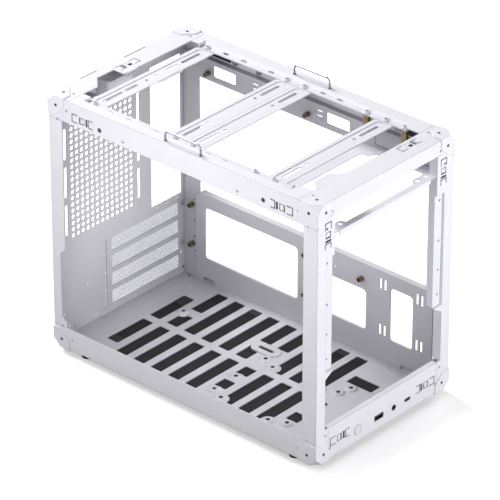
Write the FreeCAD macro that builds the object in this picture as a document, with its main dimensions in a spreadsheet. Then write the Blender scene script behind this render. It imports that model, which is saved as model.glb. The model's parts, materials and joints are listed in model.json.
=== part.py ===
import FreeCAD, Part
import os
import re
import Sketcher
from FreeCAD import Placement, Rotation, Vector

# A mini-tower computer case without its outer panels: a welded frame of folded sheet steel,
# with the board tray, the fan bars, the slotted floor and the front sockets.
# Places are given in case coordinates: x from the left side, y from the front and z from the
# underside of the rails. The model's origin is below the middle of the case, at the feet's soles.

# Driving dimensions in millimetres: name, size, meaning
SIZES = (
    ("case_width", 198, "outer width over the side rails"),
    ("case_depth", 346, "outer depth over the front and rear rails"),
    ("case_height", 281, "outer height over the bottom and top rails"),
    ("sheet", 1, "thickness of the folded steel"),
    ("foot_height", 7, "rail underside above the ground"),
    ("foot_radius", 7, "rubber foot"),
    ("foot_inset_x", 10.5, "foot's centre from the side"),
    ("foot_inset_y", 35, "foot's centre from the front or rear"),
    # corner caps
    ("cap_reach", 20.4, "cap's edge length along each rail"),
    ("cap_proud", 1, "cap's face outside the rails"),
    ("cap_facet", 8.5, "length of the flattened corner along each edge"),
    ("cap_chamfer", 12.4, "length cut off each face's far corner"),
    ("cap_hole_radius", 1.6, "hole for the cap's screw"),
    ("cap_hole_far", 10.5, "cap screw along the longer rail"),
    ("cap_hole_near", 8.7, "cap screw along the shorter rail"),
    ("spare_hole_radius", 1.2, "small fixing holes beside the caps"),
    # bottom pan
    ("pan_wall", 23.5, "height of the pan's side walls"),
    ("floor_gap", 0.6, "floor's underside above the rail underside"),
    ("floor_row_first", 86.3, "front edge of the first full row of floor slots"),
    ("floor_rear_in", 34.5, "rear edge of the last row of floor slots, from the rear"),
    ("floor_row_depth", 14.6, "length of a floor slot from front to rear"),
    ("floor_left_from", 26, "left column of floor slots, start"),
    ("floor_left_to", 92.2, "left column of floor slots, end"),
    ("floor_right_from", 101.3, "right column of floor slots, start"),
    ("floor_right_in", 18.3, "right column of floor slots, end from the right"),
    ("floor_split_width", 15.8, "short slot between two bosses"),
    ("floor_split_from", 44.7, "short slot's start"),
    ("floor_split_to", 76, "second short slot's start"),
    ("floor_inner_from", 137.9, "right slot that starts beside a boss"),
    ("floor_inner_to", 125.8, "right slot that ends beside a boss"),
    ("cable_cut_width", 14.6, "cable cut-out in the floor"),
    ("cable_cut_from", 135.6, "cable cut-out's left edge"),
    ("cable_cut_front", 46, "cable cut-out's front edge"),
    ("cable_cut_rear", 77.9, "cable cut-out's rear edge"),
    ("slot_round", 1.5, "corners of the floor slots"),
    ("boss_radius", 8.8, "raised boss at a drive screw"),
    ("boss_top_radius", 5, "flat top of the boss"),
    ("boss_rise", 1.4, "height of the boss"),
    ("drive_hole_radius", 2.2, "hole for a drive screw"),
    ("wide_drive_x", 37.8, "first hole of the 3.5 inch drive"),
    ("wide_drive_y", 69.55, "front holes of the 3.5 inch drive"),
    ("wide_drive_across", 76.2, "hole spacing of the 3.5 inch drive from left to right"),
    ("wide_drive_along", 95.25, "hole spacing of the 3.5 inch drive from front to rear"),
    ("wide_drive_extra", 31.75, "third hole of the 3.5 inch drive from the first"),
    ("slim_drive_x", 30, "first hole of the 2.5 inch drive"),
    ("slim_drive_y", 87.38, "front holes of the 2.5 inch drive"),
    ("slim_drive_across", 76.6, "hole spacing of the 2.5 inch drive from left to right"),
    ("slim_drive_along", 61.72, "hole spacing of the 2.5 inch drive from front to rear"),
    ("pump_boss_x", 128.4, "line of the bosses beside the right slots"),
    ("pump_boss_front", 65.1, "front boss beside the cable cut-out"),
    ("pump_boss_rear_in", 56.5, "rear boss from the rear"),
    ("pump_slot_front", 167.2, "slotted boss, front end of the slot"),
    ("pump_slot_rear", 187, "slotted boss, rear end of the slot"),
    # dust filter
    ("filter_thick", 1.2, "dust filter's frame and mesh"),
    ("filter_from", 19, "filter's left edge"),
    ("filter_right_in", 18, "filter's right edge from the right"),
    ("filter_front", 44, "filter's front edge"),
    ("filter_rear_in", 33, "filter's rear edge from the rear"),
    ("magnet_thick", 0.8, "filter's magnets"),
    ("magnet_long", 16, "length of a magnet at the filter's rear"),
    ("magnet_short", 8, "width of a magnet at the filter's side"),
    # front rail with the sockets
    ("io_seam", 18, "seam between post and socket rail"),
    ("io_height", 34.7, "height of the socket rail"),
    ("io_flange", 6, "depth of the socket rail's top flange"),
    ("button_x", 61.9, "power button's centre"),
    ("button_z", 12.3, "power button's centre"),
    ("button_radius", 5.2, "power button"),
    ("button_gap", 0.3, "gap round the button"),
    ("button_proud", 0.6, "button's face ahead of the rail"),
    ("button_flange", 1, "how much wider the button's collar is"),
    ("button_travel", 1, "button's stroke"),
    ("stem_radius", 2, "button's stem"),
    ("stem_length", 5.6, "stem behind the collar"),
    ("switch_width", 12, "switch housing"),
    ("switch_front", 5, "switch housing behind the rail's face"),
    ("switch_depth", 8, "switch housing's length"),
    ("socket_z", 12.7, "centre line of the sockets"),
    ("usb_a_x", 93.1, "centre of the wide socket"),
    ("usb_a_width", 13.1, "wide socket's shell"),
    ("usb_a_height", 5.7, "wide socket's shell"),
    ("usb_c_x", 136.1, "centre of the narrow socket"),
    ("usb_c_width", 9, "narrow socket's shell"),
    ("usb_c_height", 3.3, "narrow socket's shell"),
    ("shell_wall", 0.35, "wall of the socket shells"),
    ("socket_gap", 0.2, "gap round a socket in the rail"),
    ("socket_depth", 13, "length of the sockets"),
    ("jack_x", 115.6, "centre of the audio jack"),
    ("jack_bore", 1.8, "audio jack's bore"),
    ("jack_ring", 3, "audio jack's ring"),
    ("jack_body", 7, "audio jack's body"),
    ("board_top", 9, "upper face of the socket board"),
    ("board_thick", 1.6, "socket board"),
    ("board_from", 52, "socket board's left edge"),
    ("board_to", 146, "socket board's right edge"),
    ("board_rear", 30, "socket board's rear edge"),
    ("spacer_radius", 2.8, "spacer under the socket board"),
    # front posts
    ("post_side", 17.5, "width of a post's side face"),
    ("post_front", 24.5, "width of a post's front face"),
    ("post_waist", 13, "width of a front post's narrow part"),
    ("post_waist_height", 90, "where the narrow part starts to widen"),
    ("post_taper", 7, "height of the widening"),
    ("post_step_from", 98, "lower end of the stepped strip"),
    ("post_step_down", 59, "upper end of the stepped strip, from the top"),
    ("post_step", 2.7, "how far the strip lies back"),
    ("post_return", 10, "depth of a post's inner fold"),
    ("post_screw_in", 17, "holes in the stepped strip, from the side"),
    # rear posts
    ("rear_waist", 11, "width of a rear post's narrow part"),
    ("rear_waist_from", 35, "lower end of the narrow part"),
    ("rear_waist_to", 107, "upper end of the narrow part"),
    ("rear_back", 11, "width of a rear post's rear face"),
    # top rails
    ("rail_drop", 24, "height of the side rails' outer face"),
    ("rail_shelf", 12, "width of the side rails' top face"),
    ("rail_sink", 3.4, "ledge below the top face"),
    ("rail_width", 22, "width over top face and ledge"),
    ("recess_gap", 0.5, "from the frontmost bolt's head to the front end of the sunken ledge"),
    ("recess_rear_in", 36.5, "rear end of the sunken ledge, from the rear"),
    ("front_rail_depth", 25, "top face of the front rail"),
    ("front_rail_drop", 15.5, "front face of the front rail"),
    ("rear_rail_depth", 26, "top face of the rear rail"),
    ("notch_from", 55.6, "notch in the rear rail, left end of its rear edge"),
    ("notch_to", 78.7, "notch in the rear rail, right edge"),
    ("notch_depth", 13.5, "depth of that notch"),
    ("bracket_top", 8, "bracket's top below the rail's"),
    ("bracket_high", 19, "bracket's height"),
    ("bracket_deep", 15.6, "bracket from front to rear"),
    ("bracket_wide", 33.6, "bracket from left to right"),
    ("bracket_bend", 4.5, "bracket's rounded corner"),
    ("comb_long", 16, "length of the cable comb"),
    ("comb_deep", 3.6, "comb's lower edge below the rail's top"),
    ("ledge_slot_in", 16, "ledge slots from the side"),
    ("ledge_slot_long", 7, "ledge slot's length"),
    ("ledge_slot_wide", 2.5, "ledge slot's width"),
    # panel latches stamped into the rails
    ("latch_long", 28, "length of a stamped latch"),
    ("latch_wide", 9, "width of a stamped latch"),
    ("latch_slit", 0.9, "width of the cut round a latch pad"),
    ("latch_spring", 0.8, "thickness of the latch spring"),
    ("nut_wall", 1.3, "wall of the press nuts behind the rail's side holes"),
    ("nut_deep", 3, "depth of those nuts"),
    # fan bars
    ("bar_width", 22.4, "fan bar from front to rear"),
    ("bar_end", 12.5, "fan bar's end from the side"),
    ("bar_corner", 6, "rounding of the bar's ends"),
    ("bar_rear_in", 45.2, "centre line of the rear fan bar from the rear"),
    ("bar_mid_rear", 23, "rear middle bar's centre line behind the middle"),
    ("bar_mid_front", 0.5, "front middle bar's centre line behind the middle"),
    ("bar_front_y", 69.8, "centre line of the front fan bar"),
    ("bar_channel", 13, "width of the stamped channel"),
    ("bar_channel_in", 23, "channel's end from the side"),
    ("bar_stamp", 0.7, "depth of the stamped channel"),
    ("bar_slot_wide", 3.6, "screw slots in the fan bars"),
    ("bar_slot_from", 30, "long slot from the side, near end"),
    ("bar_slot_to", 57, "long slot from the side, far end"),
    ("bar_hole_in", 65, "round hole from the side"),
    ("bar_lip", 1.8, "drop of the rear bar's short lip"),
    ("bar_lip_from", 96, "left end of that lip"),
    ("bar_lip_long", 36, "length of that lip"),
    ("bolt_in", 18.6, "bar bolts from the side"),
    ("bolt_radius", 2, "bolt's shank"),
    ("bolt_gap", 0.1, "gap round a bolt's shank"),
    ("bolt_head", 3.1, "bolt's head"),
    ("bolt_head_high", 2.4, "height of the head"),
    ("bolt_length", 6, "bolt below its head"),
    ("pillar_pitch", 23.8, "brass pillars from the front bar's centre line"),
    ("pillar_flats", 6.4, "brass pillar across its flats"),
    ("pillar_length", 18, "brass pillar"),
    # handles
    ("handle_wire", 1, "radius of the handle's wire"),
    ("handle_span", 45.4, "distance between the handle's feet"),
    ("handle_rise", 11.4, "height of the handle over the rail"),
    ("handle_bend", 4, "bend in the handle's wire"),
    ("handle_left_in", 3.8, "left handle from the left side"),
    ("handle_right_in", 8.6, "right handle from the right side"),
    ("handle_shift", 0.8, "middle of the handles ahead of the case's middle"),
    ("handle_foot", 1.7, "radius of the handle's foot"),
    # power supply bracket between the front posts
    ("cross_down", 37, "bracket's upper face below the top"),
    ("cross_depth", 6.5, "front member from front to rear"),
    ("arm_out", 19.5, "outer edge of the bracket's arms from the side"),
    ("arm_in", 27.7, "inner edge of the bracket's arms from the side"),
    ("supply_open", 85, "rear edge of the bracket's opening"),
    ("supply_rear", 100, "bracket's rear edge"),
    ("cross_lip", 5, "front member's lip"),
    ("cross_lip_in", 33, "end of the lip from the side"),
    ("cross_tab", 6, "depth of the tabs at its ends"),
    ("cross_tab_to", 48.5, "end of a tab from the side"),
    ("cross_hole_in", 30.6, "outer hole of a tab from the side"),
    ("cross_hole_pitch", 12, "inner hole of a tab from the outer one"),
    ("cross_hole_radius", 2.4, "holes in the tabs"),
    # board tray
    ("tray_in", 8, "tray's inner face from the right side"),
    ("tray_front", 10, "front end of the upper strip"),
    ("tray_strip_low", 46, "lower edge of the upper strip, from the top"),
    ("tray_strip_high", 22.5, "upper edge of the upper strip, from the top"),
    ("tray_column", 22, "width of the rear column"),
    ("tray_panel_front", 14, "front end of the lower panel"),
    ("tray_panel_rise", 17.48, "upper edge of the lower panel above the middle board holes"),
    ("tray_overlap", 5.5, "lower panel's overlap on the column"),
    ("tray_flange", 6, "folds along the tray's edges"),
    ("window_round", 4.5, "corners of the large windows"),
    ("strip_window_low", 40, "small windows, lower edge from the top"),
    ("strip_window_high", 27.5, "small windows, upper edge from the top"),
    ("strip_window_long", 29.3, "length of a small window"),
    # board stand-offs
    ("standoff_length", 6.5, "stand-off above the tray"),
    ("standoff_flats", 4.8, "stand-off across its flats"),
    ("standoff_bore", 1.25, "thread's core in a stand-off"),
    ("board_rear_in", 14.1, "rear column of board holes from the rear"),
    ("board_rear_step", 22.86, "rear hole of the top row from that column"),
    ("board_middle_step", 154.94, "middle column from the rear column"),
    ("board_front_step", 227.33, "front column from the rear column"),
    ("board_top_down", 37.5, "top row of board holes from the top"),
    ("board_row_step", 157.48, "middle row below the top row"),
    ("board_low_step", 45.72, "low row below the middle row"),
    # rear panel
    ("panel_flange", 11, "rear panel's fold on the floor"),
    ("vent_x", 28.5, "first column of vent holes"),
    ("vent_down", 29, "top row of vent holes from the top"),
    ("vent_pitch", 7, "vent hole spacing"),
    ("vent_radius", 2.5, "vent hole"),
    ("fan_slot_x", 19, "left line of fan slots"),
    ("fan_slot_across", 104.5, "right line of fan slots from the left line"),
    ("fan_slot_wide", 4.5, "fan slot"),
    ("fan_slot_down", 166, "lowest fan slot's lower end from the top"),
    ("fan_slot_long", 35, "fan slot's length"),
    ("fan_slot_pitch", 42.5, "one fan slot to the next"),
    ("socket_cut_in", 56.7, "left edge of the board's socket cut-out, from the right"),
    ("socket_cut_rise", 11.85, "upper edge of that cut-out above the top board holes"),
    ("socket_cut_wide", 44.45, "width of that cut-out"),
    ("socket_cut_high", 158.75, "height of that cut-out"),
    ("card_slot_z", 18.2, "centre of the lowest card slot"),
    ("card_slot_pitch", 20.32, "card slot spacing"),
    ("card_slot_left", 116.5, "card opening, left end from the right"),
    ("card_slot_right", 16.5, "card opening, right end from the right"),
    ("card_slot_high", 15.2, "card opening, height"),
    ("card_cover_left", 136, "card slot cover, left end from the right"),
    ("card_cover_right", 14, "card slot cover, right end from the right"),
    ("card_cover_high", 18.6, "card slot cover, height"),
    ("card_cover_vent", 1, "radius of the cover's vent slots"),
    ("slit_in", 125, "upright slit beside the card slots, from the right"),
    ("slit_wide", 2.4, "width of that slit"),
    ("slit_thin", 1, "width of the level slit below it"),
    ("clamp_left", 158, "card clamp, left edge from the right"),
    ("clamp_right", 138, "card clamp, right edge from the right"),
    ("rivet_radius", 3.2, "rivet heads on the rear panel"),
    ("rivet_high", 0.8, "height of a rivet head"),
)
NAMES = {name for name, size, meaning in SIZES}

# Counts that follow from the measured pattern
VENT_COLUMNS = 13
VENT_ROWS = 21
CARD_SLOTS = 4
FAN_SLOTS = 3
COVER_VENTS = 16
COMB_GAPS = 4

doc = FreeCAD.newDocument("computer_case")
dims = doc.addObject("Spreadsheet::Sheet", "dims")
for row, (name, size, meaning) in enumerate(SIZES, 1):
    dims.set(f"A{row}", name)
    dims.set(f"B{row}", str(size))
    dims.setAlias(f"B{row}", name)
    dims.set(f"C{row}", meaning)
doc.recompute()

WORD = re.compile(r"[a-z_]\w*")
SHIFT = {"x": "- case_width / 2", "y": "- case_depth / 2", "z": "+ foot_height"}
TURN = {"x": Rotation(Vector(0, 1, 0), 90), "y": Rotation(Vector(1, 0, 0), -90), "z": Rotation()}
OUTLINE_TURN = {
    "x": Rotation(Vector(1, 1, 1), 120),
    "y": Rotation(Vector(1, 0, 0), 90),
    "z": Rotation(),
}
AXES = {"x": Vector(1, 0, 0), "y": Vector(0, 1, 0), "z": Vector(0, 0, 1)}
nodes = []


# Rules and placing
def formula(rule):
    """A rule in the sizes' names, as the expression that reads their cells."""
    return WORD.sub(lambda word: f"dims.{word[0]}" if word[0] in NAMES else word[0], str(rule))


def value(rule):
    """What a rule comes to now."""
    return float(dims.evalExpression(formula(rule)))


def place(thing, x, y, z, turn=Rotation()):
    """Put an object at a point in case coordinates."""
    thing.Placement = Placement(Vector(), turn)
    for axis, rule in zip("xyz", (x, y, z)):
        thing.setExpression(f"Placement.Base.{axis}", formula(f"({rule}) {SHIFT[axis]}"))
    return thing


def across(axis):
    """The other two axes, in order."""
    return [other for other in "xyz" if other != axis]


def from_right(rule):
    """A distance from the left side, turned into the same distance from the right side."""
    return f"case_width - ({rule})"


# Plain shapes
def block(x, y, z):
    """A box between two rules along each axis."""
    box = doc.addObject("Part::Box", "block")
    for side, (low, high) in zip(("Length", "Width", "Height"), (x, y, z)):
        box.setExpression(side, formula(f"({high}) - ({low})"))
    return place(box, x[0], y[0], z[0])


def spot(axis, centre, span):
    """The corner where a shape along an axis starts, from its centre on the other two axes."""
    at = dict(zip(across(axis), centre))
    at[axis] = span[0]
    return at["x"], at["y"], at["z"]


def rod(axis, centre, radius, span):
    """A round bar or hole along an axis."""
    bar = doc.addObject("Part::Cylinder", "rod")
    bar.setExpression("Radius", formula(radius))
    bar.setExpression("Height", formula(f"({span[1]}) - ({span[0]})"))
    return place(bar, *spot(axis, centre, span), TURN[axis])


def cone(centre, low_radius, high_radius, span):
    """An upright cone with a flat top."""
    cup = doc.addObject("Part::Cone", "cone")
    cup.setExpression("Radius1", formula(low_radius))
    cup.setExpression("Radius2", formula(high_radius))
    cup.setExpression("Height", formula(f"({span[1]}) - ({span[0]})"))
    return place(cup, *centre, span[0])


def hexagon(radius_to_flat, length):
    """An upright hexagonal bar at the origin."""
    bar = doc.addObject("Part::Prism", "hexagon")
    bar.Polygon = 6
    bar.setExpression("Circumradius", formula(f"({radius_to_flat}) / cos(30 deg)"))
    bar.setExpression("Height", formula(length))
    return bar


def prism(axis, corners, span):
    """A straight-sided outline on the plane across an axis, drawn out along that axis."""
    sketch = doc.addObject("Sketcher::SketchObject", "outline")
    points = [Vector(value(first), value(second), 0) for first, second in corners]
    turned = points[1:] + points[:1]
    sketch.addGeometry([Part.LineSegment(*ends) for ends in zip(points, turned)], False)
    joins = [Sketcher.Constraint("Coincident", i, 2, (i + 1) % len(points), 1) for i in range(len(points))]
    pins = []
    for i, point in enumerate(points):
        pins.append(Sketcher.Constraint("DistanceX", -1, 1, i, 1, point.x))
        pins.append(Sketcher.Constraint("DistanceY", -1, 1, i, 1, point.y))
    sketch.addConstraint(joins + pins)
    rules = [rule for corner in corners for rule in corner]
    for i, rule in enumerate(rules, len(joins)):
        sketch.setExpression(f"Constraints[{i}]", formula(rule))
    place(sketch, *spot(axis, ("0", "0"), span), OUTLINE_TURN[axis])
    solid = doc.addObject("Part::Extrusion", "prism")
    solid.Base = sketch
    solid.DirMode = "Custom"
    solid.Dir = AXES[axis]
    solid.Solid = True
    solid.setExpression("LengthFwd", formula(f"({span[1]}) - ({span[0]})"))
    return solid


# Putting shapes together
def fuse(*shapes):
    """Several shapes as one solid."""
    if len(shapes) == 1:
        return shapes[0]
    union = doc.addObject("Part::MultiFuse", "union")
    union.Shapes = list(shapes)
    return union


def group(shapes):
    """Several separate solids as one object."""
    bundle = doc.addObject("Part::Compound", "group")
    bundle.Links = list(shapes)
    return bundle


def cut(base, tools):
    """A shape with tools taken out of it."""
    rest = doc.addObject("Part::Cut", "cut")
    rest.Base = base
    rest.Tool = group(tools)
    return rest


def mirrored(source, axis):
    """The same shape on the other side of the case's middle plane across an axis."""
    image = doc.addObject("Part::Mirroring", "mirror")
    image.Source = source
    image.Normal = AXES[axis]
    if axis == "z":
        image.setExpression("Base.z", formula("foot_height + case_height / 2"))
    return image


def both_sides(source):
    """A shape and its mirror image on the right side."""
    return [source, mirrored(source, "x")]


def rounded(axis, first, second, radius, span):
    """A block with rounded upright edges, such as a window or a plate's outline."""
    low, high = (f"({first[0]}) + ({radius})", f"({first[1]}) - ({radius})")
    near, far = (f"({second[0]}) + ({radius})", f"({second[1]}) - ({radius})")
    slabs = []
    for one, other in (((low, high), second), (first, (near, far))):
        ranges = dict(zip(across(axis), (one, other)))
        ranges[axis] = span
        slabs.append(block(ranges["x"], ranges["y"], ranges["z"]))
    rounds = [rod(axis, (a, b), radius, span) for a in (low, high) for b in (near, far)]
    return fuse(*slabs, *rounds)


def slot(axis, along, first, second, width, span):
    """A slot with round ends: first and second give its ends on the two axes in order."""
    half = f"({width}) / 2"
    ends = dict(zip(across(axis), (first, second)))
    middle = {name: pair for name, pair in ends.items()}
    middle[along] = (f"({ends[along][0]}) + {half}", f"({ends[along][1]}) - {half}")
    other = next(name for name in across(axis) if name != along)
    centre = f"(({ends[other][0]}) + ({ends[other][1]})) / 2"
    middle[axis] = span
    body = block(middle["x"], middle["y"], middle["z"])
    rounds = []
    for end in middle[along]:
        at = [end if name == along else centre for name in across(axis)]
        rounds.append(rod(axis, at, half, span))
    return fuse(body, *rounds)


def row_slot(axis, along, start, end, line, width, span):
    """A slot with round ends that runs from start to end on a given line."""
    sides = (f"({line}) - ({width}) / 2", f"({line}) + ({width}) / 2")
    pairs = [(start, end) if name == along else sides for name in across(axis)]
    return slot(axis, along, *pairs, width, span)


def copies(master, places, turn=Rotation()):
    """Separate copies of a piece at several points in case coordinates."""
    links = []
    for x, y, z in places:
        link = doc.addObject("App::Link", "copy")
        link.LinkedObject = master
        links.append(place(link, x, y, z, turn))
    return group(links)


def node(label, thing):
    """Name a finished piece and keep it for the files."""
    thing.Label = label
    nodes.append(thing)
    return thing


# Heights and planes that several pieces share
FLOOR = ("floor_gap", "floor_gap + sheet")
FLOOR_TOP = "floor_gap + sheet"
TOP = ("case_height - sheet", "case_height")
RAIL_FOOT = "case_height - rail_drop"
LEDGE = ("case_height - rail_sink - sheet", "case_height - rail_sink")
BAR_TOP = "case_height - rail_sink - sheet"
BACK = ("case_depth - 2 * sheet", "case_depth - sheet")
OUTSIDE = ("case_depth - sheet", "case_depth")
FACE = ("0", "sheet")
REAR_RAIL_EDGE = "case_depth - rear_rail_depth"
RECESS_REAR = "case_depth - recess_rear_in"
SIDE_HOLE = ("-2 * cap_proud", "3 * sheet")
STEP_TOP = "case_height - post_step_down"
REAR_BAR = "case_depth - bar_rear_in"
MID_REAR_BAR = "case_depth / 2 + bar_mid_rear"
MID_FRONT_BAR = "case_depth / 2 + bar_mid_front"
FRONT_BAR = "bar_front_y"
RECESS_FRONT = f"{FRONT_BAR} - pillar_pitch - bolt_head - recess_gap"
CROSS_TOP = "case_height - cross_down"
TRAY = "case_width - tray_in"
STRIP_LOW = "case_height - tray_strip_low"
STRIP_HIGH = "case_height - tray_strip_high"
BOARD_REAR = "case_depth - board_rear_in"
BOARD_MIDDLE = f"{BOARD_REAR} - board_middle_step"
BOARD_FRONT = f"{BOARD_REAR} - board_front_step"
BOARD_TOP = "case_height - board_top_down"
BOARD_ROW = f"{BOARD_TOP} - board_row_step"
BOARD_LOW = f"{BOARD_ROW} - board_low_step"
PANEL_TOP = f"{BOARD_ROW} + tray_panel_rise"
FLOOR_RIGHT = from_right("floor_right_in")
CARD_SLOT_LEFT = from_right("card_slot_left")
CARD_SLOT_RIGHT = from_right("card_slot_right")
COVER_LEFT = from_right("card_cover_left")
COVER_RIGHT = from_right("card_cover_right")
CLAMP_LEFT = from_right("clamp_left")
CLAMP_RIGHT = from_right("clamp_right")


# Corner caps and the cuts beneath them
def cap_holes():
    """The three screw holes of the front left bottom corner."""
    return [
        rod("x", ("cap_hole_far", "cap_hole_near"), "cap_hole_radius", ("-2 * cap_proud", "4 * sheet")),
        rod("y", ("cap_hole_far", "cap_hole_near"), "cap_hole_radius", ("-2 * cap_proud", "4 * sheet")),
        rod("z", ("cap_hole_far", "cap_hole_far"), "cap_hole_radius", ("-2 * cap_proud", "4 * sheet")),
    ]


def spare_holes():
    """The small fixing holes beside the cap."""
    first, second = "cap_reach / 2 + sheet", "cap_reach + 3.6 * sheet"
    return [
        rod("x", (first, second), "spare_hole_radius", SIDE_HOLE),
        rod("x", (second, first), "spare_hole_radius", SIDE_HOLE),
        rod("y", ("post_waist + sheet / 2", "cap_reach + 7 * sheet"), "spare_hole_radius", SIDE_HOLE),
        rod("y", ("cap_reach", "cap_reach / 2 + sheet"), "spare_hole_radius", SIDE_HOLE),
        rod("z", ("cap_reach - 5 * sheet", "cap_reach - sheet"), "spare_hole_radius", SIDE_HOLE),
    ]


def all_corners(corner):
    """A shape at the front left bottom corner and its images at the other seven."""
    bottom = [corner, mirrored(corner, "x")]
    bottom += [mirrored(one, "y") for one in bottom]
    return bottom + [mirrored(one, "z") for one in bottom]


relief = block(*(("-2 * cap_proud", "cap_facet"),) * 3)
corner_cut = group([relief, *cap_holes(), *spare_holes()])
corner_cuts = all_corners(corner_cut)


def trimmed(base, tools=()):
    """A frame sheet, cut clear of the corners and by its own tools."""
    return cut(base, [*corner_cuts, *tools])


def facet_block(start):
    """A block whose face flattens the corner, its plane meeting each edge at a distance."""
    slab = doc.addObject("Part::Box", "facet")
    for side in ("Length", "Width", "Height"):
        slab.setExpression(side, formula("4 * cap_facet"))
    turn = Rotation(Vector(0, 0, 1), Vector(-1, -1, -1))
    middle = turn.multVec(Vector(-0.5, -0.5, 0))
    slab.Placement = Placement(Vector(), turn)
    for axis, share in zip("xyz", middle):
        rule = f"({start}) / 3 + {share:.9f} * 4 * cap_facet {SHIFT[axis]}"
        slab.setExpression(f"Placement.Base.{axis}", formula(rule))
    return slab


def corner_cap():
    """A folded cap over one corner: three faces and a flattened point."""
    outer_box = block(*(("-cap_proud", "cap_reach"),) * 3)
    outer = cut(outer_box, [facet_block("cap_facet - 3 * cap_proud")])
    inner_box = block(*(("0", "cap_reach + sheet"),) * 3)
    inner = cut(inner_box, [facet_block("cap_facet - 3 * cap_proud + cap_proud * sqrt(3)")])
    corners = [
        ("cap_reach - cap_chamfer", "cap_reach + sheet"),
        ("cap_reach + sheet", "cap_reach + sheet"),
        ("cap_reach + sheet", "cap_reach - cap_chamfer"),
    ]
    chamfers = [prism(axis, corners, ("-2 * cap_proud", "0")) for axis in "xyz"]
    return cut(outer, [inner, *chamfers, *cap_holes()])


CORNERS = [
    f"{side}_cap"
    for side in (
        "front_left_bottom", "front_right_bottom", "rear_left_bottom", "rear_right_bottom",
        "front_left_top", "front_right_top", "rear_left_top", "rear_right_top",
    )
]


def cap_screws():
    """The screws in one cap, with their heads just below its faces."""
    head = ("-cap_proud + sheet / 10", "sheet")
    radius = "cap_hole_radius - bolt_gap"
    return group([
        rod("x", ("cap_hole_far", "cap_hole_near"), radius, head),
        rod("y", ("cap_hole_far", "cap_hole_near"), radius, head),
        rod("z", ("cap_hole_far", "cap_hole_far"), radius, head),
    ])


for label, cap in zip(CORNERS, all_corners(corner_cap())):
    node(label, cap)
node("cap_screws", group(all_corners(cap_screws())))


# Stamped latches that hold the outer panels
def latch_cut(axis, along, start, line, span, backwards=False):
    """Cuts of one latch: two pads in outline, an opening and a narrow slot between them."""
    def part(low, high, near, far):
        ends = [f"({start}) + {low} * latch_long", f"({start}) + {high} * latch_long"]
        if backwards:
            ends = [f"({start}) - {high} * latch_long", f"({start}) - {low} * latch_long"]
        sides = [f"({line}) + {near} * latch_wide", f"({line}) + {far} * latch_wide"]
        ranges = {along: ends, axis: span}
        ranges[next(name for name in "xyz" if name not in ranges)] = sides
        return ranges

    def cutter(ranges):
        return block(ranges["x"], ranges["y"], ranges["z"])

    def pad(low, high):
        whole = part(low, high, -0.5, 0.5)
        inside = {name: list(pair) for name, pair in whole.items()}
        other = next(name for name in "xyz" if name not in (axis, along))
        inside[other] = [f"({whole[other][0]}) + latch_slit", f"({whole[other][1]}) - latch_slit"]
        if backwards:
            inside[along][1] = f"({inside[along][1]}) - latch_slit"
            inside[along][0] = f"({inside[along][0]}) - sheet"
        else:
            inside[along][0] = f"({inside[along][0]}) + latch_slit"
            inside[along][1] = f"({inside[along][1]}) + sheet"
        return cut(cutter(whole), [cutter(inside)])

    return [
        pad(0, 0.28),
        cutter(part(0.36, 0.6, -0.4, 0.4)),
        cutter(part(0.67, 0.75, -0.45, 0.45)),
        pad(0.79, 1),
    ]


def latch_spring(axis, along, start, line, behind, backwards=False):
    """The dark spring plate behind one latch, a little larger than its cuts."""
    low, high = (-0.06, 1.06) if not backwards else (-1.06, 0.06)
    ranges = {along: (f"({start}) + {low} * latch_long", f"({start}) + {high} * latch_long"), axis: behind}
    other = next(name for name in "xyz" if name not in ranges)
    ranges[other] = (f"({line}) - 0.6 * latch_wide", f"({line}) + 0.6 * latch_wide")
    return block(ranges["x"], ranges["y"], ranges["z"])


# Where each latch sits: axis across the sheet, axis along the latch, start, centre line
SIDE_LATCHES = [
    ("x", "y", "case_depth - 31 * sheet", "case_height - 15.5 * sheet", True),
    ("x", "y", "post_side + 13 * sheet", "case_height - 15.5 * sheet", False),
]
POST_LATCH = ("y", "z", "case_height - front_rail_drop - 5.5 * sheet", "post_front - 9.5 * sheet", True)
SOCKET_LATCH = ("y", "x", "io_seam + 3 * sheet", "io_height / 2 - sheet / 2", False)
FRONT_TOP_LATCH = ("z", "x", from_right("61 * sheet"), "17 * sheet", False)
REAR_TOP_LATCH = ("z", "x", "case_width / 2 + 11.5 * sheet", "case_depth - 15 * sheet", True)
THROUGH_FACE = ("-sheet", "2 * sheet")
THROUGH_TOP = ("case_height - 2 * sheet", "case_height + sheet")


def latch_springs():
    """All latch springs, each on the back of its sheet."""
    behind_face = ("sheet", "sheet + latch_spring")
    below_top = ("case_height - sheet - latch_spring", "case_height - sheet")
    springs = []
    for latch in (*SIDE_LATCHES, POST_LATCH, SOCKET_LATCH):
        springs += both_sides(latch_spring(*latch[:4], behind_face, latch[4]))
    for latch in (FRONT_TOP_LATCH, REAR_TOP_LATCH):
        springs.append(latch_spring(*latch[:4], below_top, latch[4]))
    return group(springs)


node("latch_springs", latch_springs())


# Bottom pan
def floor_row(index):
    """The front and rear edge of a row of floor slots."""
    pitch = "(case_depth - floor_rear_in - floor_row_depth - floor_row_first) / 9"
    front = f"floor_row_first + {index} * {pitch}"
    return front, f"{front} + floor_row_depth"


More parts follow.
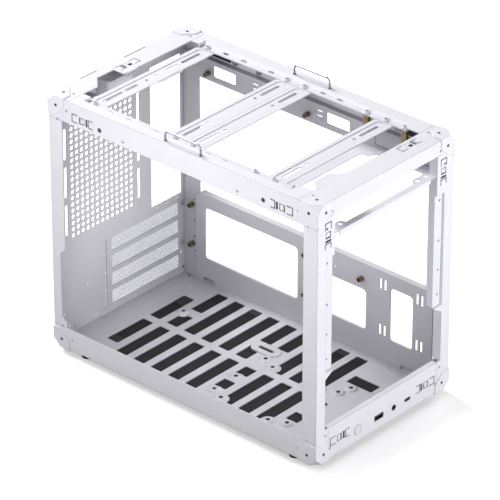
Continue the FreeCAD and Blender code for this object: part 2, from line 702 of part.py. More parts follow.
LEFT_SLOT = ("floor_left_from", "floor_left_to")
RIGHT_SLOT = ("floor_right_from", FLOOR_RIGHT)
FIRST_SPLIT = ("floor_split_from", "floor_split_from + floor_split_width")
SECOND_SPLIT = ("floor_split_to", "floor_split_to + floor_split_width")
NEAR_BOSS = ("floor_right_from", "floor_inner_to")
PAST_BOSS = ("floor_inner_from", FLOOR_RIGHT)
REAR_LEFT = ("floor_left_from + floor_row_depth * 0.9", "floor_left_to")
REAR_RIGHT = ("floor_right_from", f"{FLOOR_RIGHT} - 2 * floor_row_depth * 0.9")
FLOOR_ROWS = (
    (-1, (FIRST_SPLIT, SECOND_SPLIT)),
    (0, (LEFT_SLOT, RIGHT_SLOT)),
    (1, (LEFT_SLOT, RIGHT_SLOT)),
    (2, (LEFT_SLOT, RIGHT_SLOT)),
    (3, (FIRST_SPLIT, SECOND_SPLIT, PAST_BOSS)),
    (4, (LEFT_SLOT, NEAR_BOSS, PAST_BOSS)),
    (5, (LEFT_SLOT, RIGHT_SLOT)),
    (6, (LEFT_SLOT, RIGHT_SLOT)),
    (7, (LEFT_SLOT, RIGHT_SLOT)),
    (8, (LEFT_SLOT, NEAR_BOSS, PAST_BOSS)),
    (9, (REAR_LEFT, REAR_RIGHT)),
)


def drive_holes():
    """Centres of the bosses in the floor."""
    wide_x = ["wide_drive_x", "wide_drive_x + wide_drive_extra", "wide_drive_x + wide_drive_across"]
    wide_y = ["wide_drive_y", "wide_drive_y + wide_drive_along"]
    slim_x = ["slim_drive_x", "slim_drive_x + slim_drive_across"]
    slim_y = ["slim_drive_y", "slim_drive_y + slim_drive_along"]
    spots = [(x, y) for x in wide_x for y in wide_y] + [(x, y) for x in slim_x for y in slim_y]
    return spots + [("pump_boss_x", "pump_boss_front"), ("pump_boss_x", "case_depth - pump_boss_rear_in")]


def base_pan():
    """The floor with its two side walls, its slots and its raised bosses."""
    floor_x, floor_y = ("sheet", "case_width - sheet"), ("sheet", "case_depth - 2 * sheet")
    through = ("floor_gap - sheet", "floor_gap + 3 * sheet + boss_rise")
    slots = [rounded("z", x, floor_row(index), "slot_round", through)
             for index, columns in FLOOR_ROWS for x in columns]
    slots.append(block(("cable_cut_from", "cable_cut_from + cable_cut_width"),
                       ("cable_cut_front", "cable_cut_rear"), through))
    floor = cut(block(floor_x, floor_y, FLOOR), slots)
    spots = drive_holes()
    domes = [cone(at, "boss_radius", "boss_top_radius", ("floor_gap", "floor_gap + sheet + boss_rise"))
             for at in spots]
    hollow = ("floor_gap - sheet / 5", "floor_gap + boss_rise")
    hollows = [cone(at, "boss_radius - 1.5 * sheet", "boss_top_radius - 1.5 * sheet", hollow) for at in spots]
    holes = [rod("z", at, "drive_hole_radius", ("floor_gap", through[1])) for at in spots]
    pump_y = ("pump_slot_front - boss_radius + sheet", "pump_slot_rear + boss_radius - sheet")
    pump_pad = row_slot("z", "y", *pump_y, "pump_boss_x", "2 * boss_radius",
                        ("floor_gap", "floor_gap + sheet + boss_rise / 2"))
    pump_slot = row_slot("z", "y", "pump_slot_front", "pump_slot_rear", "pump_boss_x",
                         "2 * drive_hole_radius", through)
    wall = block(FACE, ("0", "case_depth"), ("0", "pan_wall"))
    shell = fuse(floor, *both_sides(wall), *domes, pump_pad)
    hole = rod("z", (f"{FLOOR_RIGHT} - 8 * sheet", "case_depth - 26.5 * sheet"), "drive_hole_radius", through)
    screwed = [fuse(one, other) for one, other in zip(hollows, holes)]
    return trimmed(shell, [*screwed, pump_slot, hole])


node("base_pan", base_pan())


# Feet
def rubber_foot():
    """A round rubber foot with a slightly smaller sole."""
    body = doc.addObject("PartDesign::Body", "rubber_foot")
    sketch = body.newObject("Sketcher::SketchObject", "foot_profile")
    plane = next(one for one in body.Origin.OriginFeatures if one.Role == "XZ_Plane")
    sketch.AttachmentSupport = (plane, [""])
    sketch.MapMode = "FlatFace"
    top = value("foot_height + floor_gap")
    radius = value("foot_radius")
    points = [(0, 0), (radius - 1, 0), (radius, top), (0, top)]
    ends = [Vector(x, y, 0) for x, y in points]
    sketch.addGeometry([Part.LineSegment(*pair) for pair in zip(ends, ends[1:] + ends[:1])], False)
    joins = [Sketcher.Constraint("Coincident", i, 2, (i + 1) % 4, 1) for i in range(4)]
    pins = [
        Sketcher.Constraint("Coincident", 0, 1, -1, 1),
        Sketcher.Constraint("Horizontal", 0),
        Sketcher.Constraint("Horizontal", 2),
        Sketcher.Constraint("PointOnObject", 2, 2, -2),
        Sketcher.Constraint("DistanceX", -1, 1, 0, 2, radius - 1),
        Sketcher.Constraint("DistanceX", -1, 1, 1, 2, radius),
        Sketcher.Constraint("DistanceY", -1, 1, 1, 2, top),
    ]
    sketch.addConstraint(joins + pins)
    for index, rule in ((8, "foot_radius - 1"), (9, "foot_radius"), (10, "foot_height + floor_gap")):
        sketch.setExpression(f"Constraints[{index}]", formula(rule))
    turned = body.newObject("PartDesign::Revolution", "foot_turned")
    turned.Profile = sketch
    turned.ReferenceAxis = (sketch, ["V_Axis"])
    turned.Angle = 360
    doc.recompute()
    round_edge = body.newObject("PartDesign::Fillet", "foot_edge")
    sole = [f"Edge{i}" for i, edge in enumerate(turned.Shape.Edges, 1)
            if edge.BoundBox.ZMax < 1e-6 and edge.Length > radius]
    round_edge.Base = (turned, sole)
    round_edge.setExpression("Radius", formula("foot_radius / 10"))
    return body


def feet():
    """Four copies of the foot, each a piece of its own."""
    master = rubber_foot()
    for name_y, y in (("front", "foot_inset_y"), ("rear", "case_depth - foot_inset_y")):
        for name_x, x in (("left", "foot_inset_x"), ("right", from_right("foot_inset_x"))):
            foot = copies(master, [(x, y, "-foot_height")])
            node(f"{name_y}_{name_x}_foot", foot)


feet()


# Dust filter under the floor
def dust_filter():
    """A flat frame with fine mesh."""
    x, y = ("filter_from", from_right("filter_right_in")), ("filter_front", "case_depth - filter_rear_in")
    return rounded("z", x, y, "3 * sheet", ("floor_gap - filter_thick", "floor_gap"))


def filter_magnets():
    """Magnets that lie on the filter and stand up into the floor's slots."""
    thick = ("floor_gap", "floor_gap + magnet_thick")
    side_gap = "socket_gap"
    rear = floor_row(9)
    rear_y = (f"{rear[0]} + {side_gap}", f"{rear[1]} - {side_gap}")
    places = [
        ((f"{REAR_LEFT[0]} + {side_gap}", f"{REAR_LEFT[0]} + magnet_long * 0.7"), rear_y),
        ((f"{REAR_RIGHT[1]} - magnet_long", f"{REAR_RIGHT[1]} - {side_gap}"), rear_y),
    ]
    for index in (1, 6):
        front, back = floor_row(index)
        places.append(((f"{FLOOR_RIGHT} - magnet_short - {side_gap}", f"{FLOOR_RIGHT} - {side_gap}"),
                       (f"{front} + {side_gap}", f"{back} - {side_gap}")))
    return group([rounded("z", x, y, "slot_round", thick) for x, y in places])


node("dust_filter", dust_filter())
node("filter_magnets", filter_magnets())


# Front rail and what stands behind it
def socket_outline(x, width, height, round_ends, span):
    """A socket's section, drawn out from front to rear."""
    ends = (f"{x} - ({width}) / 2", f"{x} + ({width}) / 2")
    if round_ends:
        return row_slot("y", "x", *ends, "socket_z", height, span)
    z = (f"socket_z - ({height}) / 2", f"socket_z + ({height}) / 2")
    return rounded("y", ends, z, "sheet / 4", span)


def socket_hole(x, width, height, round_ends):
    """A cut for a socket in the front rail."""
    grown = [f"{size} + 2 * socket_gap" for size in (width, height)]
    return socket_outline(x, *grown, round_ends, THROUGH_FACE)


def front_io_rail():
    """The bottom front rail with the button's and the sockets' holes."""
    x = ("io_seam", from_right("io_seam"))
    face = block(x, FACE, ("0", "io_height"))
    flange = block(x, ("0", "io_flange"), ("io_height - sheet", "io_height"))
    lip = block(x, ("io_flange - sheet", "io_flange"), ("io_height - 4 * sheet", "io_height"))
    tools = [
        rod("y", ("button_x", "button_z"), "button_radius + button_gap", THROUGH_FACE),
        rod("y", ("jack_x", "socket_z"), "jack_ring + socket_gap", THROUGH_FACE),
        socket_hole("usb_a_x", "usb_a_width", "usb_a_height", False),
        socket_hole("usb_c_x", "usb_c_width", "usb_c_height", True),
    ]
    for one in latch_cut(*SOCKET_LATCH[:4], THROUGH_FACE):
        tools += both_sides(one)
    return trimmed(fuse(face, flange, lip), tools)


def power_button():
    """The button: its cap, the collar that keeps it in and the stem."""
    collar = ("sheet + button_gap", "sheet + button_gap + 0.9 * sheet")
    centre = ("button_x", "button_z")
    cap = rod("y", centre, "button_radius", ("-button_proud", collar[1]))
    ring = rod("y", centre, "button_radius + button_flange", collar)
    stem = rod("y", centre, "stem_radius", (collar[0], f"{collar[1]} + stem_length"))
    dish = rod("y", centre, "button_radius - 1.2 * sheet", ("-button_proud - sheet", "-button_proud + sheet / 4"))
    return cut(fuse(cap, ring, stem), [dish])


def switch_housing():
    """The switch's housing, bored for the stem and its stroke."""
    half = "switch_width / 2"
    body = block((f"button_x - {half}", f"button_x + {half}"), ("switch_front", "switch_front + switch_depth"),
                 ("board_top", "button_z + switch_width / 2"))
    reach = "2 * sheet + button_gap + stem_length + button_travel"
    bore = rod("y", ("button_x", "button_z"), "stem_radius + button_gap", ("switch_front - sheet", reach))
    return cut(body, [bore])


def flat_socket(x, width, height, round_ends):
    """A socket's metal shell on its foot, with the tongue that carries the contacts."""
    outside = socket_outline(x, width, height, round_ends, ("0", "socket_depth"))
    inner = (f"{width} - 2 * shell_wall", f"{height} - 2 * shell_wall")
    inside = socket_outline(x, *inner, round_ends, ("-sheet", "socket_depth - sheet"))
    low = "socket_z - sheet / 3" if round_ends else "socket_z + sheet / 4"
    plate = block((f"{x} - 0.4 * ({inner[0]})", f"{x} + 0.4 * ({inner[0]})"),
                  ("2 * sheet", "socket_depth - sheet / 2"), (low, f"{low} + {height} / 4.4"))
    foot = block((f"{x} - 0.3 * {width}", f"{x} + 0.3 * {width}"), ("8 * sheet", "socket_depth"),
                 ("board_top", f"socket_z - {height} / 2 + shell_wall / 2"))
    return fuse(cut(outside, [inside]), plate, foot)


def audio_jack():
    """The round audio socket with its square body."""
    ring = rod("y", ("jack_x", "socket_z"), "jack_ring", ("0", "4 * sheet"))
    half = "jack_body / 2"
    body = block((f"jack_x - {half}", f"jack_x + {half}"), ("2 * sheet", "socket_depth"),
                 ("board_top", f"socket_z + {half}"))
    bore = rod("y", ("jack_x", "socket_z"), "jack_bore", ("-sheet", "socket_depth + sheet"))
    return cut(fuse(ring, body), [bore])


def socket_board():
    """The small circuit board that carries the switch and the sockets."""
    return block(("board_from", "board_to"), ("6 * sheet", "board_rear"),
                 ("board_top - board_thick", "board_top"))


def board_spacers():
    """Two round spacers between floor and board."""
    line = "board_rear - 2 * spacer_radius"
    spots = [("board_from + 2 * spacer_radius", line), ("board_to - 2 * spacer_radius", line)]
    return group([rod("z", at, "spacer_radius", (FLOOR_TOP, "board_top - board_thick")) for at in spots])


node("front_io_rail", front_io_rail())
node("power_button", power_button())
node("switch_housing", switch_housing())
node("usb_a_port", flat_socket("usb_a_x", "usb_a_width", "usb_a_height", False))
node("usb_c_port", flat_socket("usb_c_x", "usb_c_width", "usb_c_height", True))
node("audio_jack", audio_jack())
node("socket_board", socket_board())
node("board_spacers", board_spacers())


# Posts
def front_post():
    """The front left post: side face, front face with its stepped strip, and inner folds."""
    top = "case_height - front_rail_drop"
    taper_top = "post_waist_height + post_taper"
    side = block(FACE, ("0", "post_side"), ("pan_wall", RAIL_FOOT))
    face = prism("y", [
        ("sheet", "0"), ("io_seam", "0"), ("io_seam", "io_height"), ("post_waist", "io_height"),
        ("post_waist", "post_waist_height"), ("post_front", taper_top), ("post_front", top), ("sheet", top),
    ], FACE)
    strip_x = ("post_waist", "post_front")
    step = ("post_step_from", STEP_TOP)
    window = block(("post_waist", "post_front + sheet"), ("-sheet", "sheet"), step)
    deep = ("0", "post_step + sheet")
    strip = block(("post_waist - sheet", "post_front"), ("post_step", "post_step + sheet"), step)
    walls = [
        block(("post_waist - sheet", "post_waist"), deep, step),
        block(("post_waist - sheet", "post_front"), deep, ("post_step_from - sheet", "post_step_from")),
        block(("post_waist - sheet", "post_front"), deep, (STEP_TOP, f"{STEP_TOP} + sheet")),
    ]
    inner_x = ("post_front - sheet", "post_front")
    folds = [
        block(inner_x, ("post_step", "post_return"), step),
        block(inner_x, ("0", "post_return"), (STEP_TOP, top)),
        block(("post_waist - sheet", "post_waist"), ("0", "post_return"), ("io_height", "post_waist_height")),
        block(FACE, ("0", "post_side"), ("pan_wall", RAIL_FOOT)),
    ]
    long = f"({STEP_TOP} - post_step_from)"
    screws = [rod("y", ("post_screw_in", f"post_step_from + {share} * {long}"), "spare_hole_radius",
                  ("post_step - sheet", "post_step + 2 * sheet")) for share in (0.1, 0.32, 0.58, 0.94)]
    tools = [*screws, *latch_cut(*POST_LATCH[:4], THROUGH_FACE, backwards=True)]
    return trimmed(fuse(side, cut(face, [window]), strip, *walls, *folds), tools)


def rear_post():
    """The rear left post: a side face with its narrow part, and a rear face."""
    edge = "case_depth - post_side"
    waist = "case_depth - rear_waist"
    side = prism("x", [
        ("case_depth", "pan_wall"), (edge, "pan_wall"), (edge, "rear_waist_from - 7 * sheet"),
        (waist, "rear_waist_from"), (waist, "rear_waist_to"), (edge, "rear_waist_to + 6 * sheet"),
        (edge, RAIL_FOOT), ("case_depth", RAIL_FOOT),
    ], FACE)
    back = block(("0", "rear_back"), OUTSIDE, ("0", RAIL_FOOT))
    corner = block(FACE, OUTSIDE, ("0", "pan_wall"))
    return trimmed(cut(fuse(side, back), [corner]))


def posts():
    """The four posts, the right ones as images of the left ones."""
    for name, post in (("front", front_post()), ("rear", rear_post())):
        node(f"{name}_left_post", post)
        node(f"{name}_right_post", mirrored(post, "x"))


posts()


# Top rails
LEDGE_SLOTS = (
    f"{REAR_BAR} - 22 * sheet", f"{REAR_BAR} - 46 * sheet", f"{MID_REAR_BAR} + 22.6 * sheet",
    f"{MID_FRONT_BAR} - 22 * sheet", f"{MID_FRONT_BAR} - 43.5 * sheet",
)
SIDE_HOLES = (
    ("case_depth - 68 * sheet", "case_height - 17 * sheet", "2 * spare_hole_radius"),
    ("case_depth - 99 * sheet", "case_height - 18 * sheet", "1.3 * spare_hole_radius"),
    ("100 * sheet", "case_height - 18 * sheet", "1.3 * spare_hole_radius"),
    ("67.5 * sheet", "case_height - 16 * sheet", "2 * spare_hole_radius"),
)


def bolt_lines():
    """The lines of bolts along the ledges: one in each fan bar, two beside the front one."""
    bars = [REAR_BAR, MID_REAR_BAR, MID_FRONT_BAR, FRONT_BAR]
    return bars + [f"{FRONT_BAR} + pillar_pitch", f"{FRONT_BAR} - pillar_pitch"]


def side_rail():
    """The left top rail: outer face, top face, slope and sunken ledge."""
    wall = block(FACE, ("0", "case_depth"), (RAIL_FOOT, "case_height"))
    low, high = LEDGE
    section = prism("y", [
        ("0", "case_height - sheet"), ("rail_shelf - 0.4 * sheet", "case_height - sheet"),
        ("rail_shelf + rail_sink - 0.4 * sheet", low), ("rail_width", low), ("rail_width", high),
        ("rail_shelf + rail_sink", high), ("rail_shelf", "case_height"), ("0", "case_height"),
    ], (RECESS_FRONT, RECESS_REAR))
    x = ("0", "rail_width")
    flats = [
        block(x, ("front_rail_depth", RECESS_FRONT), TOP),
        block(x, (RECESS_REAR, REAR_RAIL_EDGE), TOP),
    ]
    step_x = ("rail_shelf", "rail_width")
    steps = [
        block(step_x, (f"{RECESS_FRONT} - sheet", RECESS_FRONT), (low, "case_height")),
        block(step_x, (RECESS_REAR, f"{RECESS_REAR} + sheet"), (low, "case_height")),
    ]
    through = (f"{low} - sheet", "case_height")
    holes = [rod("z", ("bolt_in", y), "bolt_radius + bolt_gap", through) for y in bolt_lines()]
    slots = [row_slot("z", "y", f"{y} - ledge_slot_long / 2", f"{y} + ledge_slot_long / 2", "ledge_slot_in",
                      "ledge_slot_wide", through) for y in LEDGE_SLOTS]
    side_holes = [rod("x", (y, z), radius, THROUGH_FACE) for y, z, radius in SIDE_HOLES]
    latches = [one for latch in SIDE_LATCHES for one in latch_cut(*latch[:4], THROUGH_FACE, latch[4])]
    return trimmed(fuse(wall, section, *flats, *steps), [*holes, *slots, *side_holes, *latches])


def rail_nuts():
    """Blind press nuts behind the side holes of both side rails."""
    nuts = []
    for y, z, radius in SIDE_HOLES:
        shell = rod("x", (y, z), f"{radius} + nut_wall", ("sheet", "sheet + nut_deep"))
        bore = rod("x", (y, z), radius, ("0", "nut_deep"))
        nuts += both_sides(cut(shell, [bore]))
    return group(nuts)


def front_top_rail():
    """The front top rail, with a tab that reaches back under the opening."""
    x = ("sheet", "case_width - sheet")
    inner_x = ("post_front", from_right("post_front"))
    drop = "case_height - front_rail_drop"
    parts = [
        block(x, ("0", "front_rail_depth"), TOP),
        block(x, FACE, (drop, "case_height")),
        block(inner_x, ("0", "8 * sheet"), (drop, f"{drop} + sheet")),
        block(inner_x, ("front_rail_depth - sheet", "front_rail_depth"), ("case_height - 6 * sheet", "case_height")),
    ]
    tab_z = ("case_height - 9.5 * sheet", "case_height - 8.5 * sheet")
    tab_x = ("post_waist + 23 * sheet", "post_waist + 69 * sheet")
    far = "front_rail_depth + 21.7 * sheet"
    parts.append(block(tab_x, ("front_rail_depth - sheet", "front_rail_depth"), (tab_z[0], "case_height")))
    parts.append(prism("z", [
        (tab_x[0], "front_rail_depth - sheet"), (tab_x[1], "front_rail_depth - sheet"),
        (tab_x[1], f"{far} - 13.3 * sheet"), (f"{tab_x[1]} - 13.3 * sheet", far),
        (f"{tab_x[0]} + 13.3 * sheet", far), (tab_x[0], f"{far} - 13.3 * sheet"),
    ], tab_z))
    latches = latch_cut(*FRONT_TOP_LATCH[:4], THROUGH_TOP)
    return trimmed(fuse(*parts), latches)


def rear_top_rail():
    """The rear top rail with its notch, its cable comb and two low ribs."""
    x = ("sheet", "case_width - sheet")
    edge = REAR_RAIL_EDGE
    comb_from = "notch_to + 3 * sheet"
    comb = [f"{comb_from} + {i} * (comb_long - sheet) / {COMB_GAPS}" for i in range(COMB_GAPS + 1)]
    comb_z = ("case_height - comb_deep", "case_height")
    prongs = [block((start, f"{start} + sheet"), (f"{edge} - sheet", edge), comb_z) for start in comb]
    bridge = block((comb_from, f"{comb_from} + comb_long"), (f"{edge} - sheet", edge),
                   ("case_height - comb_deep - sheet", "case_height - comb_deep"))
    ribs = [
        block(("notch_from - 12 * sheet", "notch_to - 13 * sheet"), ("case_depth - 2 * sheet", "case_depth"),
              ("case_height", "case_height + cap_proud / 2")),
        block(("notch_to + 27 * sheet", "notch_to + 57 * sheet"), ("case_depth - 2 * sheet", "case_depth"),
              ("case_height", "case_height + cap_proud / 2")),
    ]
    plate = block(x, (f"{edge}", "case_depth"), TOP)
    back = block(x, OUTSIDE, (RAIL_FOOT, "case_height"))
    hooks = block((comb_from, f"{comb_from} + comb_long"), (f"{edge} - sheet", edge), TOP)
    notch = prism("z", [
        ("notch_from - notch_depth - sheet", f"{edge} - sheet"), ("notch_to", f"{edge} - sheet"),
        ("notch_to", f"{edge} + notch_depth"), ("notch_from", f"{edge} + notch_depth"),
    ], THROUGH_TOP)
    latches = latch_cut(*REAR_TOP_LATCH[:4], THROUGH_TOP, backwards=True)
    return trimmed(fuse(plate, back, hooks, *prongs, bridge, *ribs), [notch, *latches])


def bent_box(x, y, z, radius):
    """A block whose upright edge at the front left is rounded."""
    inner_x, inner_y = f"({x[0]}) + ({radius})", f"({y[0]}) + ({radius})"
    return fuse(block((inner_x, x[1]), y, z), block(x, (inner_y, y[1]), z), rod("z", (inner_x, inner_y), radius, z))


def rear_bracket():
    """A folded bracket on the rear panel, under the notch."""
    x = ("notch_from + 10.8 * sheet", "notch_from + 10.8 * sheet + bracket_wide")
    y = (f"{BACK[0]} - bracket_deep", BACK[0])
    z = ("case_height - bracket_top - bracket_high", "case_height - bracket_top")
    outer = bent_box(x, y, z, "bracket_bend")
    inner = bent_box((f"{x[0]} + sheet", f"{x[1]} - sheet"), (f"{y[0]} + sheet", f"{y[1]} + sheet"),
                     (f"{z[0]} - sheet", f"{z[1]} - sheet"), "bracket_bend - sheet")
    slit = block((f"{x[0]} + 2 * sheet", f"{x[0]} + 7 * sheet"), (f"{y[1]} - 10.5 * sheet", f"{y[1]} - 8.5 * sheet"),
                 (f"{z[1]} - 2 * sheet", f"{z[1]} + sheet"))
    return cut(outer, [inner, slit])


left_rail = side_rail()
node("left_top_rail", left_rail)
node("right_top_rail", mirrored(left_rail, "x"))
node("rail_nuts", rail_nuts())
node("front_top_rail", front_top_rail())
node("rear_top_rail", rear_top_rail())
node("rear_bracket", rear_bracket())


# Fan bars
BAR_Z = (f"{BAR_TOP} - sheet", BAR_TOP)
BAR_X = ("bar_end", from_right("bar_end"))
LONG_SLOT = ("bar_slot_from", "bar_slot_to")
REAR_BAR_SLOTS = (
    LONG_SLOT,
    ("bar_hole_in - 4 * sheet", "bar_hole_in + 13 * sheet"),
    (from_right("bar_slot_to"), from_right("bar_slot_from")),
    (from_right("bar_hole_in + 15 * sheet"), from_right("bar_hole_in - 3 * sheet")),
)
PLAIN_BAR_SLOTS = (LONG_SLOT, (from_right("bar_slot_to"), from_right("bar_slot_from")))
REAR_BAR_HOLES = ("case_width / 2 - 8 * sheet", "case_width / 2 + 6 * sheet")
PLAIN_BAR_HOLES = ("bar_hole_in", from_right("bar_hole_in"))


def fan_bar(line, slots, holes, extra=()):
    """A bar across the top with a stamped channel, screw slots and round ends."""
    y = (f"{line} - bar_width / 2", f"{line} + bar_width / 2")
    plate = rounded("z", BAR_X, y, "bar_corner", BAR_Z)
    channel_x = ("bar_channel_in", from_right("bar_channel_in"))
    channel_y = (f"{line} - bar_channel / 2", f"{line} + bar_channel / 2")
    corner = "bar_channel / 3"
    sunk = rounded("z", channel_x, channel_y, corner, (f"{BAR_TOP} - bar_stamp", f"{BAR_TOP} + sheet"))
    below = rounded("z", channel_x, channel_y, corner,
                    (f"{BAR_Z[0]} - bar_stamp", f"{BAR_TOP} - bar_stamp"))
    through = (f"{BAR_Z[0]} - 2 * sheet", f"{BAR_TOP} + 2 * sheet")
    plate_cut = cut(plate, [sunk])
    tools = [row_slot("z", "x", *ends, line, "bar_slot_wide", through) for ends in slots]
    tools += [rod("z", (x, line), "bar_slot_wide / 2", through) for x in holes]
    tools += [rod("z", (x, line), "bolt_radius + bolt_gap", through)
              for x in ("bolt_in", from_right("bolt_in"))]
    return cut(fuse(plate_cut, below, *extra), tools)


def rear_bar_lip():
    """The short, low lip in the middle of the rear fan bar's front edge."""
    front = f"{REAR_BAR} - bar_width / 2"
    low = f"{BAR_Z[0]} - bar_lip"
    start, end = "bar_lip_from", "bar_lip_from + bar_lip_long"
    return [prism("y", [
        (start, BAR_Z[0]), (f"{start} + bar_lip", low), (f"{end} - bar_lip", low), (end, BAR_Z[0]),
        (end, BAR_TOP), (start, BAR_TOP),
    ], (front, f"{front} + sheet"))]


node("rear_fan_bar", fan_bar(REAR_BAR, REAR_BAR_SLOTS, REAR_BAR_HOLES, rear_bar_lip()))
node("middle_rear_fan_bar", fan_bar(MID_REAR_BAR, PLAIN_BAR_SLOTS, PLAIN_BAR_HOLES))
node("middle_front_fan_bar", fan_bar(MID_FRONT_BAR, PLAIN_BAR_SLOTS, PLAIN_BAR_HOLES))
node("front_fan_bar", fan_bar(FRONT_BAR, PLAIN_BAR_SLOTS, PLAIN_BAR_HOLES))


# Bolts and brass pillars
def pan_bolt(head_radius, head_high, shank_radius, shank_long):
    """A pan-head bolt at the origin, its shank pointing down."""
    def part(kind, low, **rules):
        shape = doc.addObject(kind, "bolt_part")
        for name, rule in rules.items():
            shape.setExpression(name, formula(rule))
        shape.setExpression("Placement.Base.z", formula(low))
        return shape

    rim = f"0.45 * ({head_high})"
    disc = part("Part::Cylinder", "0", Radius=head_radius, Height=rim)
    dome = part("Part::Cone", rim, Radius1=head_radius, Radius2=f"0.62 * ({head_radius})",
                Height=f"0.55 * ({head_high})")
    shank = part("Part::Cylinder", f"-({shank_long})", Radius=shank_radius, Height=shank_long)
    drive = hexagon(f"0.36 * ({head_radius})", head_high)
    drive.setExpression("Placement.Base.z", formula(f"0.5 * ({head_high})"))
    return cut(fuse(disc, dome, shank), [drive])


def bar_bolts():
    """Bolts through ledge and bar, and into the pillars."""
    master = pan_bolt("bolt_head", "bolt_head_high", "bolt_radius", "bolt_length")
    spots = [(x, y, LEDGE[1]) for y in bolt_lines() for x in ("bolt_in", from_right("bolt_in"))]
    return copies(master, spots)


def brass_pillars():
    """Hexagonal pillars under the ledges, beside the front fan bar."""
    bar = hexagon("pillar_flats / 2", "pillar_length")
    bore = doc.addObject("Part::Cylinder", "bore")
    bore.setExpression("Radius", formula("bolt_radius + bolt_gap"))
    bore.setExpression("Height", formula("pillar_length + sheet"))
    master = cut(bar, [bore])
    low = f"{LEDGE[0]} - pillar_length"
    spots = [(x, f"{FRONT_BAR} {side} pillar_pitch", low)
             for side in "+-" for x in ("bolt_in", from_right("bolt_in"))]
    return copies(master, spots)


node("bar_bolts", bar_bolts())
node("brass_pillars", brass_pillars())


# Handles
def bend(corner_y, corner_z, turn):
    """A quarter of a wire bend in the plane across x."""
    quarter = doc.addObject("Part::Torus", "bend")
    quarter.setExpression("Radius1", formula("handle_bend"))
    quarter.setExpression("Radius2", formula("handle_wire"))
    quarter.Angle3 = 90
    place(quarter, "handle_left_in", corner_y, corner_z, turn)
    return quarter


def wire_handle():
    """The left handle: a bent wire with two small feet."""
    middle = "case_depth / 2 - handle_shift"
    low, high = f"{middle} - handle_span / 2", f"{middle} + handle_span / 2"
    top = "case_height + handle_rise - handle_wire"
    shoulder = f"{top} - handle_bend"
    x = "handle_left_in"
    rear_turn = Rotation(Vector(1, 1, 1), 120)
    front_turn = Rotation(Vector(1, 0, 0), 90).multiply(rear_turn)
    legs = [rod("z", (x, y), "handle_wire", ("case_height", shoulder)) for y in (low, high)]
    feet_discs = [rod("z", (x, y), "handle_foot", ("case_height", "case_height + handle_wire")) for y in (low, high)]
    grip = rod("y", (x, top), "handle_wire", (f"{low} + handle_bend", f"{high} - handle_bend"))
    bends = [
        bend(f"{high} - handle_bend", shoulder, rear_turn),
        bend(f"{low} + handle_bend", shoulder, front_turn),
    ]
    return fuse(grip, *legs, *feet_discs, *bends)


def right_handle(left):
    """The right handle stands further in than the left one."""
    image = mirrored(left, "x")
    image.setExpression("Placement.Base.x", formula("handle_left_in - handle_right_in"))
    return image


left_handle = wire_handle()
node("left_handle", left_handle)
node("right_handle", right_handle(left_handle))


# Power supply bracket between the front posts
OPENING = (
    ("cross_tab_to", "sheet + cross_depth"), ("cross_tab_to", "sheet + cross_depth + cross_tab - 3 * sheet"),
    ("cross_tab_to - 3 * sheet", "sheet + cross_depth + cross_tab"), ("arm_in", "sheet + cross_depth + cross_tab"),
    ("arm_in", "supply_open - 17 * sheet"), ("arm_in + 0.7 * sheet", "supply_open - 12.5 * sheet"),
    ("arm_in + 3.2 * sheet", "supply_open - 9.7 * sheet"), ("arm_in + 6.4 * sheet", "supply_open - 11 * sheet"),
    ("arm_in + 8 * sheet", "supply_open - 9.2 * sheet"), ("arm_in + 8 * sheet", "supply_open - 3 * sheet"),
    ("arm_in + 11.7 * sheet", "supply_open"),
)


def supply_bracket():
    """A level frame for the power supply's rear face, with a lip and drilled tabs at the front."""
    z = (f"{CROSS_TOP} - sheet", CROSS_TOP)
    behind_post = "post_return + sheet"
    left = [("post_front", "sheet"), ("post_front", behind_post), ("arm_out", behind_post), ("arm_out", "supply_rear")]
    outline = [*left, *((from_right(x), y) for x, y in reversed(left))]
    window = [*OPENING, *((from_right(x), y) for x, y in reversed(OPENING))]
    plate = prism("z", outline, z)
    opening = prism("z", window, (f"{CROSS_TOP} - 2 * sheet", f"{CROSS_TOP} + sheet"))
    lip = block(("cross_lip_in", from_right("cross_lip_in")), ("sheet", "2 * sheet"),
                (f"{CROSS_TOP} - cross_lip", CROSS_TOP))
    line = "sheet + cross_depth + cross_tab * 0.3"
    holes = [rod("z", (x, line), "cross_hole_radius", (f"{CROSS_TOP} - 2 * sheet", f"{CROSS_TOP} + sheet"))
             for x in ("cross_hole_in", "cross_hole_in + cross_hole_pitch")]
    tools = [one for hole in holes for one in both_sides(hole)]
    return cut(fuse(cut(plate, [opening]), lip), tools)


node("supply_bracket", supply_bracket())


# Board tray
def tray_cut(y, z, thick=(f"{TRAY} - 3 * sheet", f"{TRAY} + 3 * sheet"), radius="window_round"):
    """A window in the tray."""
    return rounded("x", y, z, radius, thick)


